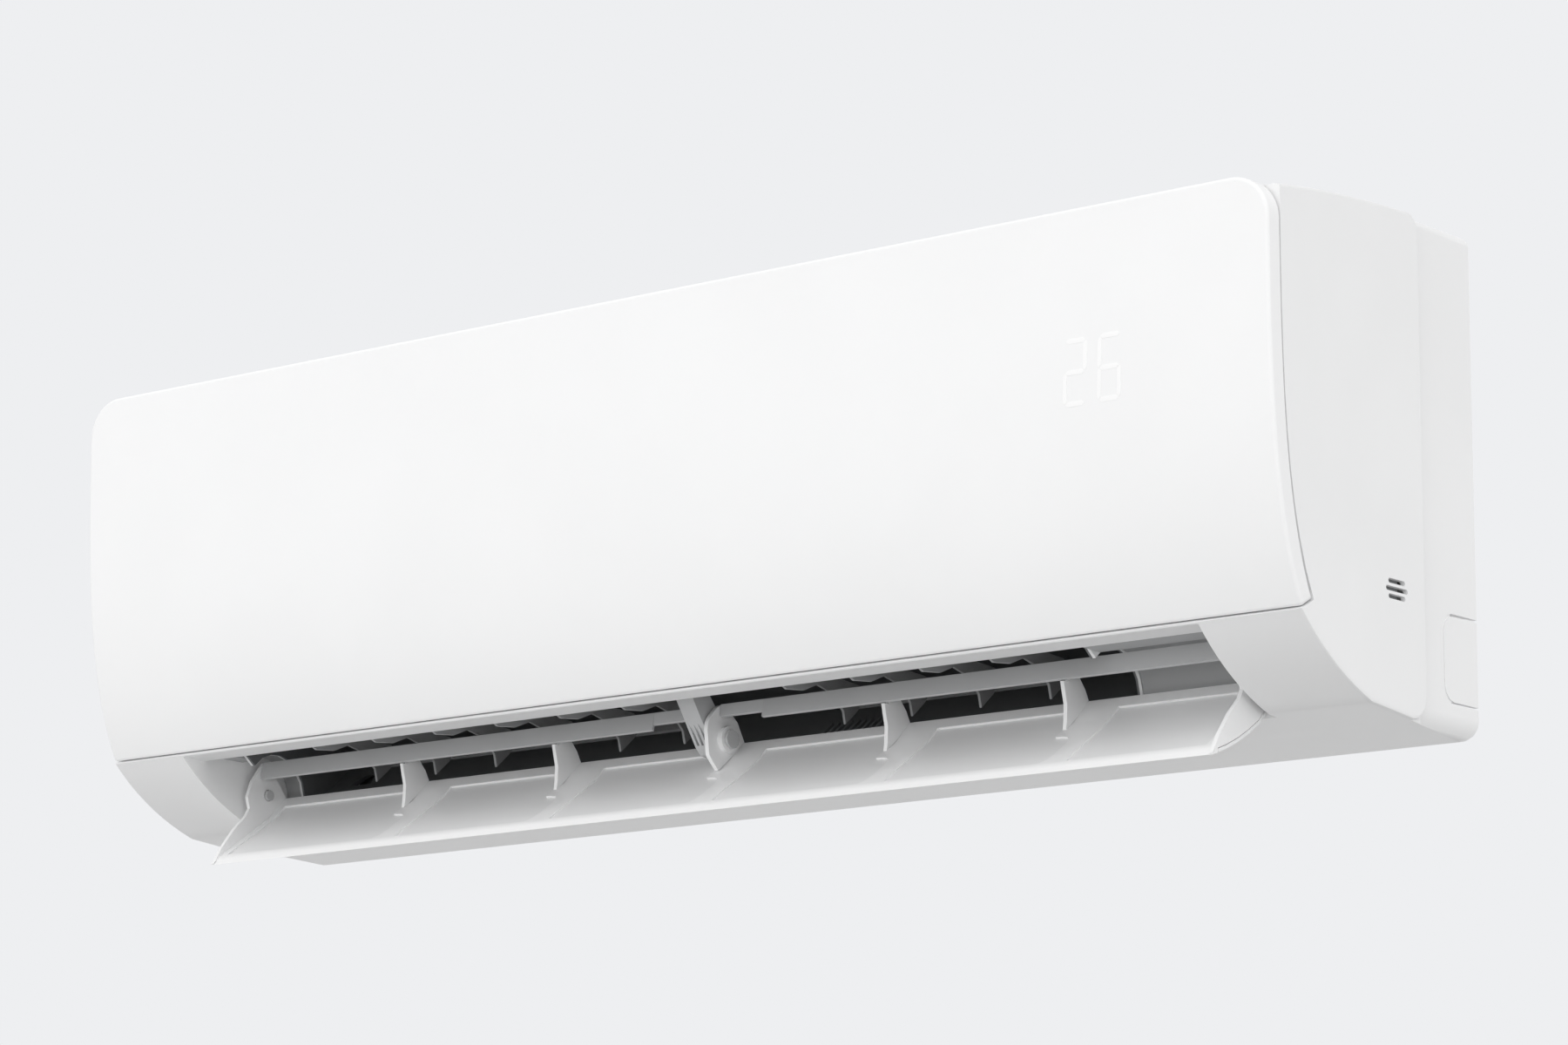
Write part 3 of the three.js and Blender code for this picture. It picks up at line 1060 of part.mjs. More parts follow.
function pipe(name, x, height, radius, endX, top) {
  const line = bentRod([[x, pipeDepth, top], [x, pipeDepth, height], [endX + 12, pipeDepth, height]], radius, 10, 5);
  const nutReach = radius * 1.75;
  const nut = join(
    rod([endX + 16, pipeDepth, height], [endX, pipeDepth, height], nutReach, 6),
    rod([endX, pipeDepth, height], [endX - 10, pipeDepth, height], radius * 1.25, 10),
  );
  const bore = rod([endX + 4, pipeDepth, height], [endX - 12, pipeDepth, height], radius * 0.75, 10);
  const lineRoom = rod([endX + 2, pipeDepth, height], [endX + 40, pipeDepth, height], radius + 2 * clearance, 10);
  addPiece(`${name}_pipe`, line, copper);
  addPiece(`${name}_flare_nut`, cut(nut, bore, lineRoom), brass);
}

// holder that carries both pipes on the back wall of the bay
function pipeHolder() {
  const [low, high] = [104, 118];
  const body = block(pipeX.gas - 8.6, pipeX.liquid + 6.5, pipeDepth - 9, rearWall[0] - clearance, low, high);
  const bores = [[pipeX.gas, 6.35], [pipeX.liquid, 3.2]].map(([x, radius]) =>
    alongZ(circle([x, pipeDepth], radius + clearance, 16), low - 1, high + 1));
  addPiece('pipe_holder', cut(body, ...bores), duct);
}

pipeHolder();
pipe('gas', pipeX.gas, 48, 6.35, -58, 172);
pipe('liquid', pipeX.liquid, 29, 3.2, -40, 150);

// ---- drain spigot, out of the tray's low end into the recess ----
function drainSpigot() {
  const front = -channel.depth - 14;
  const body = rod([drainX, front, drainZ], [drainX, -10, drainZ], 8, 12);
  const barb = rod([drainX, -14, drainZ], [drainX, -11, drainZ], 9, 12);
  const flange = rod([drainX, -channel.depth + clearance, drainZ], [drainX, -channel.depth + 2, drainZ], 12, 12);
  const bore = rod([drainX, front - 1, drainZ], [drainX, 0, drainZ], 6, 10);
  addPiece('drain_spigot', cut(join(body, barb, flange), bore), duct);
}

drainSpigot();

// ---- mounting plate on the wall ----
function mountingPlate() {
  const outline = rounded([
    [-262, 72, 8], [-60, 72], [-52, 84, 6], [52, 84, 6], [60, 72], [262, 72, 8], [262, 196, 10], [236, 210],
    [236, 229, 6], [186, 229, 6], [186, 210], [-186, 210], [-186, 229, 6], [-236, 229, 6], [-236, 210], [-262, 196, 10],
  ]);
  const sheet = alongY(outline, -plateThick, 0);
  const holes = [-232, -160, -90, 90, 160, 232].flatMap((x) => [96, 186].map((z) =>
    alongY(circle([x, z], 3, 6), -5, 1)));
  const slots = [-125, 125].map((x) => alongY(rectangle(x - 22, x + 22, 118, 164, 8), -5, 1));
  addPiece('mounting_plate', cut(sheet, ...holes, ...slots), steel);
}

mountingPlate();

export default unit;
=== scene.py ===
import json
import math

import bpy
from mathutils import Matrix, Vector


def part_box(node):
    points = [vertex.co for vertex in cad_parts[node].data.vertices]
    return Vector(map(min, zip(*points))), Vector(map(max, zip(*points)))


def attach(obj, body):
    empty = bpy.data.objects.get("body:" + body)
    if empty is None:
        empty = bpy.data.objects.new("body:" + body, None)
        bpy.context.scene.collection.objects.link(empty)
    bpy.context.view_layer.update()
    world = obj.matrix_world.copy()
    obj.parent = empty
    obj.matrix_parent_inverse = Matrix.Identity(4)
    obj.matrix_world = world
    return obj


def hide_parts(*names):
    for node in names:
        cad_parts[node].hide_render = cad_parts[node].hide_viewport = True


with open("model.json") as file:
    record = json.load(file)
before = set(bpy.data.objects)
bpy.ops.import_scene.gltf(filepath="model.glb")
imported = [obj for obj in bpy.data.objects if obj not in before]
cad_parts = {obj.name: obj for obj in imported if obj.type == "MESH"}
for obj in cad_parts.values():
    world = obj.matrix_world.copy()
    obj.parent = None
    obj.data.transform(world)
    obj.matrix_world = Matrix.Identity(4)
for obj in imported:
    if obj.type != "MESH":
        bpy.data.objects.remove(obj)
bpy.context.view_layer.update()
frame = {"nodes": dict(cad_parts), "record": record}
bpy.ops.object.select_all(action="DESELECT")
print("frame loaded")

# camera: below the unit and to its right, looking up a little
cameraView = {
    "place": (1.5536, -1.9942, -0.4965),
    "turn": 38.694,  # degrees, anticlockwise seen from above
    "tilt": 9.03,  # degrees above the horizon
    "lens": 110.5,
    "sensor": 36,
    "shiftY": 0.12,
}


def makeCamera(view):
    data = bpy.data.cameras.new("viewCamera")
    data.lens = view["lens"]
    data.sensor_width = view["sensor"]
    data.shift_y = view["shiftY"]
    camera = bpy.data.objects.new("viewCamera", data)
    camera.location = view["place"]
    camera.rotation_euler = (math.radians(90 + view["tilt"]), 0, math.radians(view["turn"]))
    bpy.context.collection.objects.link(camera)
    bpy.context.scene.camera = camera


makeCamera(cameraView)
print("camera placed")


# shader maths: a socket that takes part in Python expressions
class Wire:

    def __init__(self, tree, socket):
        self.tree = tree
        self.socket = socket

    def node(self, kind, settings=None, inputs=None, output=0):
        return addNode(self.tree, kind, settings, inputs, output)

    def maths(self, operation, first, second):
        return self.node("ShaderNodeMath", {"operation": operation}, {0: first, 1: second})

    def __add__(self, other):
        return self.maths("ADD", self, other)

    def __rsub__(self, other):
        return self.maths("SUBTRACT", other, self)

    def __mul__(self, other):
        return self.maths("MULTIPLY", self, other)

    def between(self, low, high):  # 0 below low, 1 above high, smooth in the middle
        settings = {"interpolation_type": "SMOOTHSTEP"}
        inputs = {"Value": self, "From Min": low, "From Max": high}
        return self.node("ShaderNodeMapRange", settings, inputs)

    def mix(self, first, second):  # colours, by this wire
        settings = {"data_type": "RGBA"}
        return self.node("ShaderNodeMix", settings, {"Factor": self, 6: first, 7: second}, 2)


def addNode(tree, kind, settings=None, inputs=None, output=0):
    made = tree.nodes.new(kind)
    for name, value in (settings or {}).items():
        setattr(made, name, value)
    for name, value in (inputs or {}).items():
        if isinstance(value, Wire):
            tree.links.new(value.socket, made.inputs[name])
        else:
            made.inputs[name].default_value = value
    return Wire(tree, made.outputs[output])


def grey(value):
    return (value, value, value, 1)


def newMaterial(name):
    material = bpy.data.materials.new(name)
    material.use_nodes = True
    tree = material.node_tree
    tree.nodes.clear()
    shader = tree.nodes.new("ShaderNodeBsdfPrincipled")
    out = tree.nodes.new("ShaderNodeOutputMaterial")
    tree.links.new(shader.outputs[0], out.inputs[0])
    place = addNode(tree, "ShaderNodeTexCoord", None, None, "Object")
    return material, tree, shader, place


def plug(tree, shader, values):
    for name, value in values.items():
        if isinstance(value, Wire):
            tree.links.new(value.socket, shader.inputs[name])
        else:
            shader.inputs[name].default_value = value


def noise(place, scale, detail=2.0):
    return place.node("ShaderNodeTexNoise", None, {"Vector": place, "Scale": scale, "Detail": detail})


def bump(height, distance, strength=1.0):
    inputs = {"Height": height, "Distance": distance, "Strength": strength}
    return height.node("ShaderNodeBump", None, inputs)


def axisOf(place, axis):
    return place.node("ShaderNodeSeparateXYZ", None, {"Vector": place}, axis)


plasticLook = {
    "digitWhite": {"colour": (0.975, 0.975, 0.975), "shift": 0.004, "rough": 0.34,
        "grain": 700, "depth": 2e-5},
    "whiteGloss": {"colour": (0.93, 0.932, 0.934), "shift": 0.006, "rough": 0.34,
        "grain": 700, "depth": 2e-5},
    "whiteShell": {"colour": (0.90, 0.902, 0.904), "shift": 0.009, "rough": 0.42,
        "grain": 1500, "depth": 4e-5},
    "fillerGrey": {"colour": (0.44, 0.445, 0.45), "shift": 0.03, "rough": 0.5,
        "grain": 1300, "depth": 5e-5},
    "pocketWhite": {"colour": (0.88, 0.882, 0.884), "shift": 0.008, "rough": 0.4,
        "grain": 900, "depth": 2e-5},
    # painted shade: the electrical box cover is painted dark grey to stand for the shade it lies in
    # behind the vents; the room sensor shares this grey
    "shadedCoverGrey": {"colour": (0.16, 0.165, 0.17), "shift": 0.06, "rough": 0.5,
        "grain": 1200, "depth": 5e-5},
    # painted shade: this dark grey stands for the shade in the outlet duct and is painted on the outlet's
    # inner faces; the bearing holder, drain spigot and pipe holder are painted with it too
    "ductShadeGrey": {"colour": (0.17, 0.175, 0.18), "shift": 0.04, "rough": 0.55,
        "grain": 1300, "depth": 6e-5},
    "vaneGrey": {"colour": (0.42, 0.425, 0.43), "shift": 0.04, "rough": 0.5,
        "grain": 1300, "depth": 5e-5},
    # painted shade: the blades are painted grey, darker than the louver's white, to stand for the shadow
    # the casing casts on them; the arm, pin and bush share it
    "bladeGrey": {"colour": (0.55, 0.555, 0.56), "shift": 0.03, "rough": 0.45,
        "grain": 1300, "depth": 5e-5},
    "fanBlack": {"colour": (0.035, 0.036, 0.038), "shift": 0.2, "rough": 0.5,
        "grain": 900, "depth": 6e-5},
    "boxIvory": {"colour": (0.72, 0.72, 0.70), "shift": 0.04, "rough": 0.55,
        "grain": 1200, "depth": 6e-5},
    "rubberBlack": {"colour": (0.03, 0.03, 0.03), "shift": 0.25, "rough": 0.75,
        "grain": 800, "depth": 8e-5},
}


cloudLook = {"low": 0.3, "high": 0.7, "plastic": 14, "fins": 60, "grainDetail": 3.0}
spread = {"plastic": 0.12, "metal": 0.2}  # how far the roughness varies


def cloudy(wire):
    return wire.between(cloudLook["low"], cloudLook["high"])


# moulded plastic: faint cloudy colour, fine grain in the gloss and the surface
def plastic(name, look):
    material, tree, shader, place = newMaterial(name)
    low = [c * (1 - look["shift"]) for c in look["colour"]] + [1]
    high = [min(c * (1 + look["shift"]), 1) for c in look["colour"]] + [1]
    cloud = cloudy(noise(place, cloudLook["plastic"]))
    grain = noise(place, look["grain"], cloudLook["grainDetail"])
    plug(tree, shader, {
        "Base Color": cloud.mix(low, high),
        "Roughness": grain * spread["plastic"] + (look["rough"] - spread["plastic"] / 2),
        "Normal": bump(grain, look["depth"]),
        "IOR": 1.47,
    })
    return material


metalLook = {
    "zincSheet": {"colour": (0.60, 0.61, 0.62), "rough": 0.38, "stretch": (40, 40, 40), "depth": 3e-5},
    "drawnCopper": {"colour": (0.78, 0.40, 0.26), "rough": 0.28, "stretch": (8, 300, 300), "depth": 2e-5},
    "turnedBrass": {"colour": (0.80, 0.63, 0.30), "rough": 0.25, "stretch": (900, 30, 30), "depth": 2e-5},
    "turnedSteel": {"colour": (0.62, 0.62, 0.63), "rough": 0.27, "stretch": (900, 30, 30), "depth": 2e-5},
}


streakLook = {"size": 3.0, "detail": 4.0, "darkest": 0.86, "lightest": 1.1}


# metal: streaks or spangle from stretched noise in colour, gloss and surface
def metal(name, look):
    material, tree, shader, place = newMaterial(name)
    drawn = place.node("ShaderNodeMapping", None, {"Vector": place, "Scale": look["stretch"]})
    streak = noise(drawn, streakLook["size"], streakLook["detail"])
    low = [c * streakLook["darkest"] for c in look["colour"]] + [1]
    high = [min(c * streakLook["lightest"], 1) for c in look["colour"]] + [1]
    plug(tree, shader, {
        "Base Color": cloudy(streak).mix(low, high),
        "Metallic": 1.0,
        "Roughness": streak * spread["metal"] + (look["rough"] - spread["metal"] / 2),
        "Normal": bump(streak, look["depth"]),
    })
    return material


finLook = {
    "pitch": 0.0014, "colour": (0.74, 0.77, 0.80), "shade": (0.16, 0.17, 0.19), "rough": 0.34,
    "edge": (0.25, 0.6), "dimmed": 0.85, "metallic": 0.85, "varies": 0.1, "depth": 4e-4, "strength": 0.7,
}


# finned coil: one bright fin edge and one dark gap each pitch along the unit
def finned(name, look):
    material, tree, shader, place = newMaterial(name)
    along = axisOf(place, "X") * (1 / look["pitch"])
    wave = along.maths("PINGPONG", along, 0.5) * 2
    edge = wave.between(*look["edge"])
    cloud = cloudy(noise(place, cloudLook["fins"]))
    bright = cloud.mix([*(c * look["dimmed"] for c in look["colour"]), 1], [*look["colour"], 1])
    plug(tree, shader, {
        "Base Color": edge.mix([*look["shade"], 1], bright),
        "Metallic": look["metallic"],
        "Roughness": cloud * look["varies"] + look["rough"],
        "Normal": bump(edge, look["depth"], look["strength"]),
    })
    return material


filterLook = {
    "pitch": 0.0012, "thread": (0.55, 0.56, 0.57), "shadeInHoles": (0.04, 0.04, 0.045), "edge": (0.55, 0.75),
    "cloud": 300, "rough": 0.6, "varies": 0.1, "depth": 2e-4, "strength": 0.6,
}


# filter: fine square mesh between the ribs, with painted shade: the holes are painted near-black for the
# dark seen through them
def meshed(name, look):
    material, tree, shader, place = newMaterial(name)
    threads = []
    for axis in ("X", "Z"):
        along = axisOf(place, axis) * (1 / look["pitch"])
        threads.append((along.maths("PINGPONG", along, 0.5) * 2).between(*look["edge"]))
    weave = threads[0].maths("MAXIMUM", threads[0], threads[1])
    plug(tree, shader, {
        "Base Color": weave.mix([*look["shadeInHoles"], 1], [*look["thread"], 1]),
        "Roughness": noise(place, look["cloud"]) * look["varies"] + look["rough"],
        "Normal": bump(weave, look["depth"], look["strength"]),
    })
    return material


boardLook = {
    "mask": (0.02, 0.16, 0.06), "copper": (0.05, 0.30, 0.12), "pitch": 0.0045, "edge": (0.28, 0.34),
    "rough": 0.3, "varies": 0.08, "depth": 5e-5,
}


# circuit board: lighter copper tracks under green lacquer
def laminate(name, look):
    material, tree, shader, place = newMaterial(name)
    cells = place.node("ShaderNodeTexVoronoi", {"distance": "MANHATTAN", "feature": "F1"},
                       {"Vector": place, "Scale": 0.5 / look["pitch"]})
    track = cells.between(*look["edge"])
    plug(tree, shader, {
        "Base Color": track.mix([*look["mask"], 1], [*look["copper"], 1]),
        "Roughness": track * look["varies"] + look["rough"],
        "Normal": bump(track, look["depth"]),
    })
    return material


outletShadeZone = {
    "left": -0.3232, "right": 0.2432, "back": -0.0345, "above": 0.006, "top": 0.002,
    "soft": 2e-4, "dark": plasticLook["ductShadeGrey"]["colour"],
}


# painted shade: pale outside the outlet, the faces inside it painted dark grey to stand for the shade in
# the duct
def paleWithOutletShade(name, look, mouth):
    material = plastic(name, look)
    tree = material.node_tree
    shader = next(node for node in tree.nodes if node.type == "BSDF_PRINCIPLED")
    place = addNode(tree, "ShaderNodeTexCoord", None, None, "Object")
    soft = mouth["soft"]
    x, y, z = (axisOf(place, axis) for axis in "XYZ")
    inside = x.between(mouth["left"] - soft, mouth["left"])
    inside = inside * (1 - x.between(mouth["right"], mouth["right"] + soft))
    inside = inside * (1 - y.between(mouth["back"] - soft, mouth["back"]))
    inside = inside * (1 - z.between(mouth["top"] - soft, mouth["top"]))
    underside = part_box("rear_chassis")[0][2] + mouth["above"]
    inside = inside * z.between(underside, underside + soft)
    pale = Wire(tree, shader.inputs["Base Color"].links[0].from_socket)
    plug(tree, shader, {"Base Color": inside.mix(pale, [*mouth["dark"], 1])})
    return material


materials = {name: plastic(name, look) for name, look in plasticLook.items()}
# the rear chassis and the drip tray get painted shade on their faces inside the outlet
materials["chassisShell"] = paleWithOutletShade("chassisShell", plasticLook["whiteShell"], outletShadeZone)
materials["trayGrey"] = paleWithOutletShade("trayGrey", plasticLook["fillerGrey"], outletShadeZone)
materials.update({name: metal(name, look) for name, look in metalLook.items()})
materials["finStack"] = finned("finStack", finLook)
materials["filterMesh"] = meshed("filterMesh", filterLook)
materials["boardGreen"] = laminate("boardGreen", boardLook)
print("materials made")

vaneCounts = {"left": 6, "right": 4}
vanes = [f"vane_{side}_{number}" for side, count in vaneCounts.items() for number in range(1, count + 1)]

# finish of each node
finishes = {
    "whiteGloss": ["front_panel", "louver_skin", "louver_frame"],
    "whiteShell": ["front_casing", "aux_button"],
    "chassisShell": ["rear_chassis"],
    "trayGrey": ["drip_tray"],
    "ductShadeGrey": ["bearing_holder", "drain_spigot", "pipe_holder"],
    "vaneGrey": [*vanes, "link_bar_left", "link_bar_right"],
    "bladeGrey": ["louver_blade_left", "louver_blade_right", "louver_arm", "louver_pin", "louver_bush"],
    "fanBlack": ["crossflow_fan", "terminal_block", "display_board"],
    "boxIvory": ["electrical_box"],
    # the box cover's dark grey is painted shade
    "shadedCoverGrey": ["electrical_box_cover", "room_sensor"],
    "rubberBlack": ["fan_bearing"],
    "zincSheet": ["motor_bracket", "mounting_plate", "fan_motor", "louver_motor",
                  "coil_end_plate_left", "coil_end_plate_right"],
    "turnedSteel": ["fan_shaft_left", "motor_shaft", "louver_motor_shaft"],
    "drawnCopper": ["gas_pipe", "liquid_pipe", "coil_sensor"],
    "turnedBrass": ["gas_flare_nut", "liquid_flare_nut"],
    "finStack": ["evaporator_lower", "evaporator_upper", "evaporator_rear"],
    "filterMesh": ["filter_left", "filter_right"],
    "boardGreen": ["control_board", "aux_switch"],
}
bodyOf = {node: body for body, nodes in frame["record"]["behaviour"]["bodies"].items() for node in nodes}


def paint(piece, finish):
    piece.data.materials.clear()
    piece.data.materials.append(materials[finish])


for finish, nodes in finishes.items():
    for node in nodes:
        paint(frame["nodes"][node], finish)
print("nodes painted")


# moulded pieces: the node's own form with rounded edges and smooth curves
def only(piece):
    bpy.ops.object.select_all(action="DESELECT")
    piece.select_set(True)
    bpy.context.view_layer.objects.active = piece


def editAll(piece):
    only(piece)
    bpy.ops.object.mode_set(mode="EDIT")
    bpy.ops.mesh.select_all(action="SELECT")


def applied(piece, kind, **settings):
    only(piece)
    modifier = piece.modifiers.new(kind.lower(), kind)
    for name, value in settings.items():
        setattr(modifier, name, value)
    bpy.ops.object.modifier_apply(modifier=modifier.name)


edges = {
    "smoothAngle": 32, "bevelAngle": 38, "segments": 2, "weight": 80,
    "merge": 1e-6, "flatAngle": 0.3, "vaneRadius": 3e-4,
}


# smooth where the form curves, sharp at its corners, flat faces kept flat
def finished(piece, node):
    only(piece)
    bpy.ops.object.shade_smooth_by_angle(angle=math.radians(edges["smoothAngle"]))
    applied(piece, "WEIGHTED_NORMAL", keep_sharp=True, weight=edges["weight"])
    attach(piece, bodyOf[node])


def moulded(node, radius):
    source = frame["nodes"][node]
    piece = bpy.data.objects.new(f"{node}_moulded", source.data.copy())
    bpy.context.collection.objects.link(piece)
    editAll(piece)
    bpy.ops.mesh.remove_doubles(threshold=edges["merge"])
    bpy.ops.mesh.customdata_custom_splitnormals_clear()
    bpy.ops.mesh.dissolve_limited(angle_limit=math.radians(edges["flatAngle"]))
    bpy.ops.object.mode_set(mode="OBJECT")
    if radius:
        applied(piece, "BEVEL", width=radius, segments=edges["segments"], limit_method="ANGLE",
                angle_limit=math.radians(edges["bevelAngle"]), use_clamp_overlap=True,
                harden_normals=False)
    finished(piece, node)
    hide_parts(node)
    return piece


edgeRadius = {
    "front_casing": 1e-3, "rear_chassis": 6e-4, "louver_skin": 4e-4, "louver_frame": 3e-4,
    "louver_arm": 4e-4, "louver_blade_left": 3e-4, "louver_blade_right": 3e-4, "drip_tray": 4e-4,
    "fan_motor": 4e-4, "gas_pipe": 0, "liquid_pipe": 0, "mounting_plate": 2e-4, "drain_spigot": 3e-4,
    "crossflow_fan": 0,
}
moulds = {node: moulded(node, radius) for node, radius in edgeRadius.items()}
for node in finishes["vaneGrey"]:
    moulded(node, edges["vaneRadius"])
print("moulded pieces made")

# the louver's sunk pockets are thin, and look a little darker than the webs round them
pocketLook = {
    "hinge": (-0.1035, -0.123), "open": 60, "depth": 4e-4,
    "floor": ((-0.1536, -0.1114), (-0.1465, -0.1145), (-0.1302, -0.123),
              (-0.113, -0.1314), (-0.104, -0.134)),
}


# how far a place lies from the pockets' floor line, with the louver turned shut
def fromFloor(look, place):
    turn = math.radians(-look["open"])
    y, z = place.y - look["hinge"][0], place.z - look["hinge"][1]
    shut = (look["hinge"][0] + y * math.cos(turn) - z * math.sin(turn),
            look["hinge"][1] + y * math.sin(turn) + z * math.cos(turn))
    gaps = []
    for low, high in zip(look["floor"], look["floor"][1:]):
        span = (high[0] - low[0], high[1] - low[1])
        along = (shut[0] - low[0]) * span[0] + (shut[1] - low[1]) * span[1]
        share = along / (span[0] ** 2 + span[1] ** 2)
        share = min(max(share, 0), 1)
        gaps.append(math.dist(shut, (low[0] + span[0] * share, low[1] + span[1] * share)))
    return min(gaps)


def tintPockets(look, piece):
    piece.data.materials.append(materials["pocketWhite"])
    for polygon in piece.data.polygons:
        points = [piece.data.vertices[index].co for index in polygon.vertices]
        if all(fromFloor(look, point) < look["depth"] for point in points):
            polygon.material_index = 1


tintPockets(pocketLook, moulds["louver_frame"])

# front panel: one curved sheet with a rim turned back round it
panelForm = {
    "halfWidth": 0.3895,
    # (y, z) of the face's curve, bottom up
    "profile": ((-0.163, -0.1056), (-0.186, -0.0611), (-0.187, -0.0006), (-0.187, 0.0805)),
    "curveEnd": 0.0715, "top": 0.0945, "rows": 30, "corner": 0.021, "cornerSteps": 12,
    "rim": 0.0095, "sheet": 0.0024, "edge": 0.0024, "edgeSteps": 4, "edgeAngle": 45,
    "lowRimShift": (0, -0.0012, 0.0046), "closeBy": 1e-5, "halvings": 30,
}


def panelPoint(form, t):
    weights = ((1 - t) ** 3, 3 * t * (1 - t) ** 2, 3 * t * t * (1 - t), t ** 3)
    return [sum(w * point[k] for w, point in zip(weights, form["profile"])) for k in (0, 1)]


# (y, z) on the panel's face at a height, found by halving the curve
def panelAt(form, height):
    low, high = 0.0, 1.0
    for step in range(form["halvings"]):
        middle = (low + high) / 2
        if panelPoint(form, middle)[1] < height:
            low = middle
        else:
            high = middle
    return panelPoint(form, low)


def selectVertices(piece, test):
    bpy.ops.object.mode_set(mode="OBJECT")
    for polygon in piece.data.polygons:
        polygon.select = False
    for edge in piece.data.edges:
        edge.select = False
    for vertex in piece.data.vertices:
        vertex.select = test(vertex.co)
    bpy.ops.object.mode_set(mode="EDIT")


def makePanel(form):
    bpy.ops.object.select_all(action="DESELECT")
    bpy.ops.mesh.primitive_plane_add(size=2 * form["halfWidth"])
    panel = bpy.context.object
    panel.name = "front_panel_sheet"
    bottom, curveEnd = form["profile"][0][1], form["curveEnd"]
    heights = [bottom + (curveEnd - bottom) * k / form["rows"] for k in range(form["rows"] + 1)]
    rows = [panelAt(form, height) for height in heights] + [[form["profile"][3][0], form["top"]]]
    bpy.ops.object.mode_set(mode="EDIT")
    selectVertices(panel, lambda co: co.y > 0)
    bpy.ops.mesh.delete(type="VERT")
    bpy.ops.mesh.select_all(action="SELECT")
    bpy.ops.transform.translate(value=(0, rows[0][0] + form["halfWidth"], rows[0][1]))
    for before, after in zip(rows, rows[1:]):
        step = (0, after[0] - before[0], after[1] - before[1])
        bpy.ops.mesh.extrude_region_move(TRANSFORM_OT_translate={"value": step})
    bpy.ops.mesh.bevel(offset=form["corner"], segments=form["cornerSteps"], affect="VERTICES",
                       clamp_overlap=False)
    bpy.ops.mesh.select_all(action="SELECT")
    bpy.ops.mesh.normals_make_consistent(inside=False)
    bpy.ops.mesh.region_to_loop()
    bpy.ops.mesh.extrude_region_move(TRANSFORM_OT_translate={"value": (0, form["rim"], 0)})
    bpy.ops.object.mode_set(mode="OBJECT")
    lowest, behind = bottom + form["closeBy"], rows[0][0] + form["rim"] / 2
    selectVertices(panel, lambda co: co.z < lowest and co.y > behind)
    bpy.ops.transform.translate(value=form["lowRimShift"])
    bpy.ops.mesh.select_all(action="SELECT")
    bpy.ops.mesh.normals_make_consistent(inside=False)
    bpy.ops.object.mode_set(mode="OBJECT")
    applied(panel, "BEVEL", width=form["edge"], segments=form["edgeSteps"], limit_method="ANGLE",
            angle_limit=math.radians(form["edgeAngle"]))
    applied(panel, "SOLIDIFY", thickness=form["sheet"], offset=-1)
    paint(panel, "whiteGloss")
    finished(panel, "front_panel")
    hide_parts("front_panel")


makePanel(panelForm)
print("front panel made")

# two lit digits that show through the panel, each of seven-segment strokes
digitForm = {
    "lefts": (0.2748, 0.2944), "width": 0.0113, "middle": 0.0152, "halfHeight": 0.0150, "slant": 3.4,
    "upright": 0.0021, "level": 0.0024, "gap": 0.0007, "proud": 1.2e-4, "deep": 4e-4, "cut": 0.46,
    "lit": (("top", "upperRight", "centre", "lowerLeft", "bottom"),
            ("top", "upperLeft", "centre", "lowerLeft", "lowerRight", "bottom")),
}
strokeSpots = {  # across in widths, up in half heights, and whether the stroke stands
    "top": (0.5, 1, False), "centre": (0.5, 0, False), "bottom": (0.5, -1, False),
    "upperLeft": (0, 0.5, True), "upperRight": (1, 0.5, True),
    "lowerLeft": (0, -0.5, True), "lowerRight": (1, -0.5, True),
}


def makeStroke(form, left, spot):
    across, up, stands = spot
    rise = up * form["halfHeight"]
    thick = form["upright"] if stands else form["level"]
    span = form["halfHeight"] if stands else form["width"]
    bpy.ops.object.select_all(action="DESELECT")
    bpy.ops.mesh.primitive_plane_add(size=1)
    stroke = bpy.context.object
    stroke.scale = (thick, span - form["gap"], 1) if stands else (span - form["gap"], thick, 1)
    bpy.ops.object.transform_apply(location=False, rotation=False, scale=True)
    bpy.ops.object.mode_set(mode="EDIT")
    bpy.ops.mesh.bevel(offset=thick * form["cut"], segments=1, affect="VERTICES")
    bpy.ops.mesh.select_all(action="SELECT")
    bpy.ops.mesh.extrude_region_move(TRANSFORM_OT_translate={"value": (0, 0, -form["deep"])})
    bpy.ops.mesh.select_all(action="SELECT")
    bpy.ops.mesh.normals_make_consistent(inside=False)
    bpy.ops.object.mode_set(mode="OBJECT")
    height = form["middle"] + rise
    low, high = panelAt(panelForm, height - span / 3), panelAt(panelForm, height + span / 3)
    tilt = math.atan2(high[0] - low[0], high[1] - low[1])
    slant = math.radians(form["slant"])
    x = left + across * form["width"] + rise * math.tan(slant)
    y = panelAt(panelForm, height)[0] - form["proud"]
    lean = Matrix.Rotation(-slant, 4, "Z") if stands else Matrix.Identity(4)
    upright = Matrix.Rotation(math.pi / 2 - tilt, 4, "X")
    stroke.matrix_world = Matrix.Translation((x, y, height)) @ upright @ lean
    bpy.ops.object.transform_apply(location=True, rotation=True, scale=True)
    return stroke


def makeDigits(form):
    strokes = [makeStroke(form, left, strokeSpots[name])
               for left, names in zip(form["lefts"], form["lit"]) for name in names]
    bpy.ops.object.select_all(action="DESELECT")
    for stroke in strokes:
        stroke.select_set(True)
    bpy.context.view_layer.objects.active = strokes[0]
    bpy.ops.object.join()
    digits = bpy.context.object
    digits.name = "temperature_digits"
    paint(digits, "digitWhite")
    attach(digits, "front_panel")


makeDigits(digitForm)
print("digits made")


# floor, light and background
studio = {
    "floorLevel": -4.4, "floorReach": 18.0, "floorSeen": 0.97,
    "nearLit": 0.44, "farLit": 0.86, "near": 3.2, "far": 12.0,
    "backdrop": (0.855, 0.863, 0.879), "ambient": 1.16, "lean": (0.24, -0.58, -0.02),
}


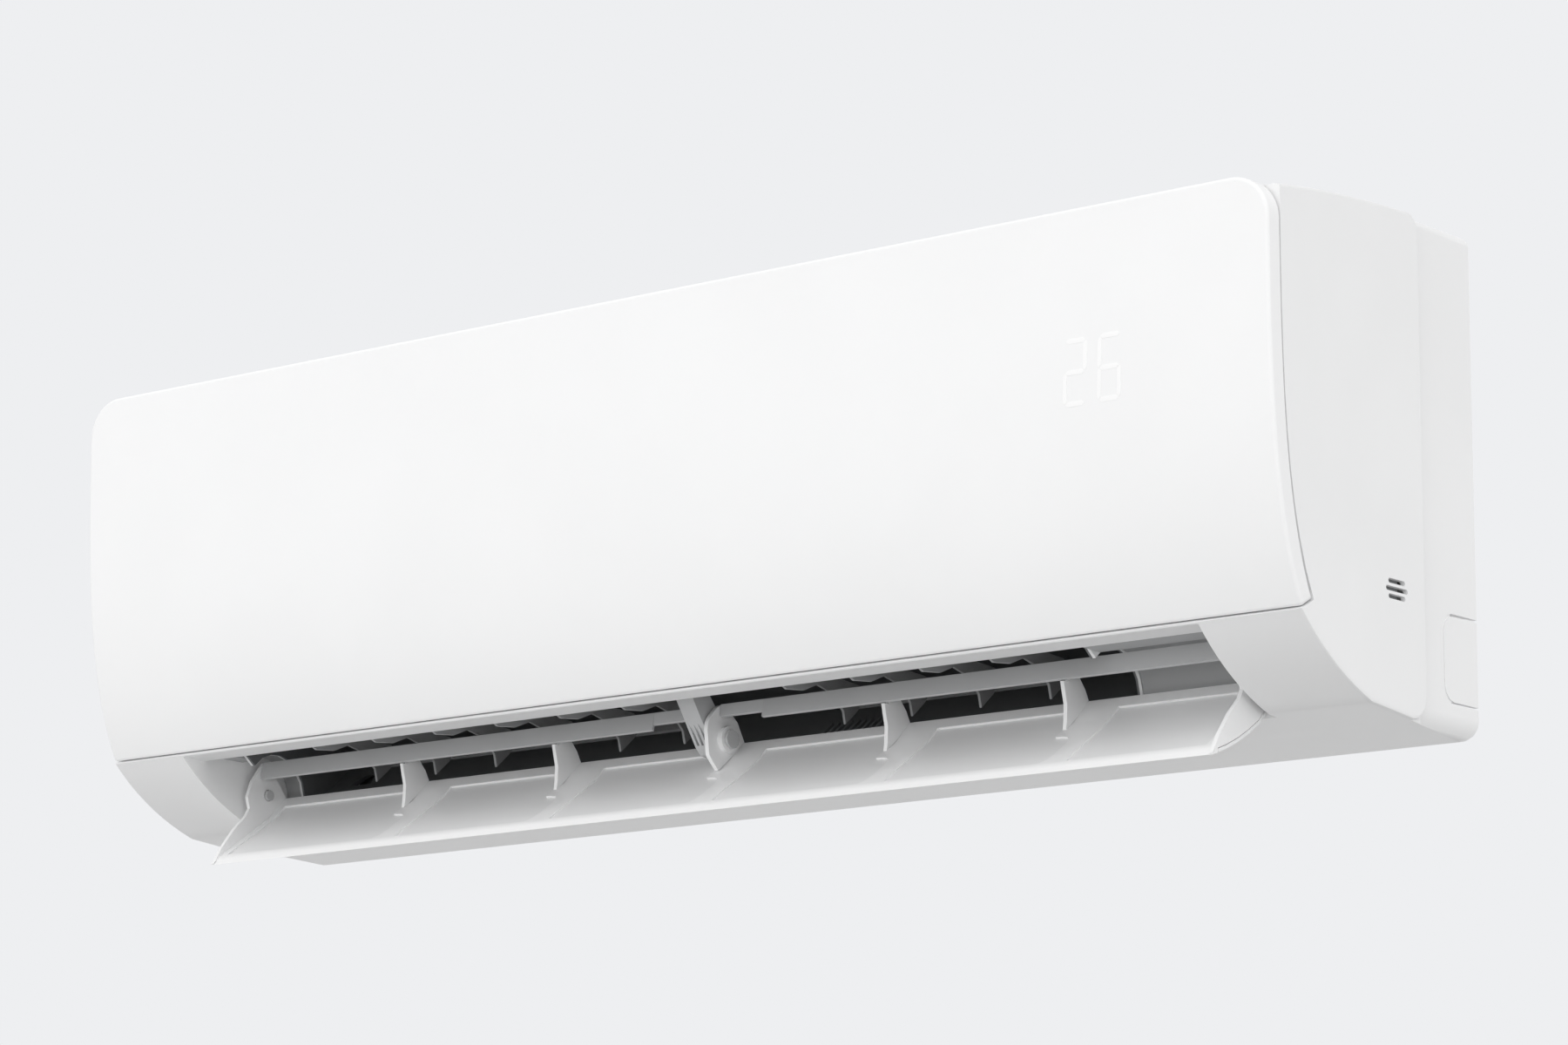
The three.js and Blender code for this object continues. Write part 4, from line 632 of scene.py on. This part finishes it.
# rays that show the background itself: the camera's, and those seen in metal or through glass
def backgroundRays(tree):
    paths = addNode(tree, "ShaderNodeLightPath")
    seen = [Wire(tree, paths.socket.node.outputs[f"Is {kind} Ray"])
            for kind in ("Camera", "Glossy", "Transmission")]
    return seen[0].maths("MAXIMUM", seen[0], seen[1].maths("MAXIMUM", seen[1], seen[2]))


def makeStage(look):
    level = (0, 0, look["floorLevel"])
    bpy.ops.mesh.primitive_plane_add(size=2 * look["floorReach"], location=level)
    floor = bpy.context.object
    floor.name = "floor"
    material, tree, shader, place = newMaterial("floorPale")
    seen = backgroundRays(tree)
    away = place.node("ShaderNodeVectorMath", {"operation": "LENGTH"}, {0: place}, "Value")
    lit = away.between(look["near"], look["far"]).mix(grey(look["nearLit"]), grey(look["farLit"]))
    plug(tree, shader, {
        "Base Color": seen.mix(lit, grey(look["floorSeen"])),
        "Roughness": 0.9,
    })
    floor.data.materials.append(material)


# the world lights the unit from all round, more from the front and above; the camera sees a plain tone
def makeWorld(look):
    world = bpy.data.worlds.new("studioWorld")
    bpy.context.scene.world = world
    world.use_nodes = True
    tree = world.node_tree
    tree.nodes.clear()
    out = tree.nodes.new("ShaderNodeOutputWorld")
    way = addNode(tree, "ShaderNodeTexCoord", None, None, "Generated")
    level = axisOf(way, "X") * look["lean"][0] + axisOf(way, "Y") * look["lean"][1]
    level = level + axisOf(way, "Z") * look["lean"][2] + look["ambient"]
    seen = backgroundRays(tree)
    light = tree.nodes.new("ShaderNodeBackground")
    tree.links.new(level.socket, light.inputs["Strength"])
    plain = tree.nodes.new("ShaderNodeBackground")
    plain.inputs["Color"].default_value = (*look["backdrop"], 1)
    either = tree.nodes.new("ShaderNodeMixShader")
    tree.links.new(seen.socket, either.inputs[0])
    tree.links.new(light.outputs[0], either.inputs[1])
    tree.links.new(plain.outputs[0], either.inputs[2])
    tree.links.new(either.outputs[0], out.inputs[0])


makeStage(studio)
makeWorld(studio)
bpy.context.scene.view_settings.view_transform = "Standard"
print("stage lit")
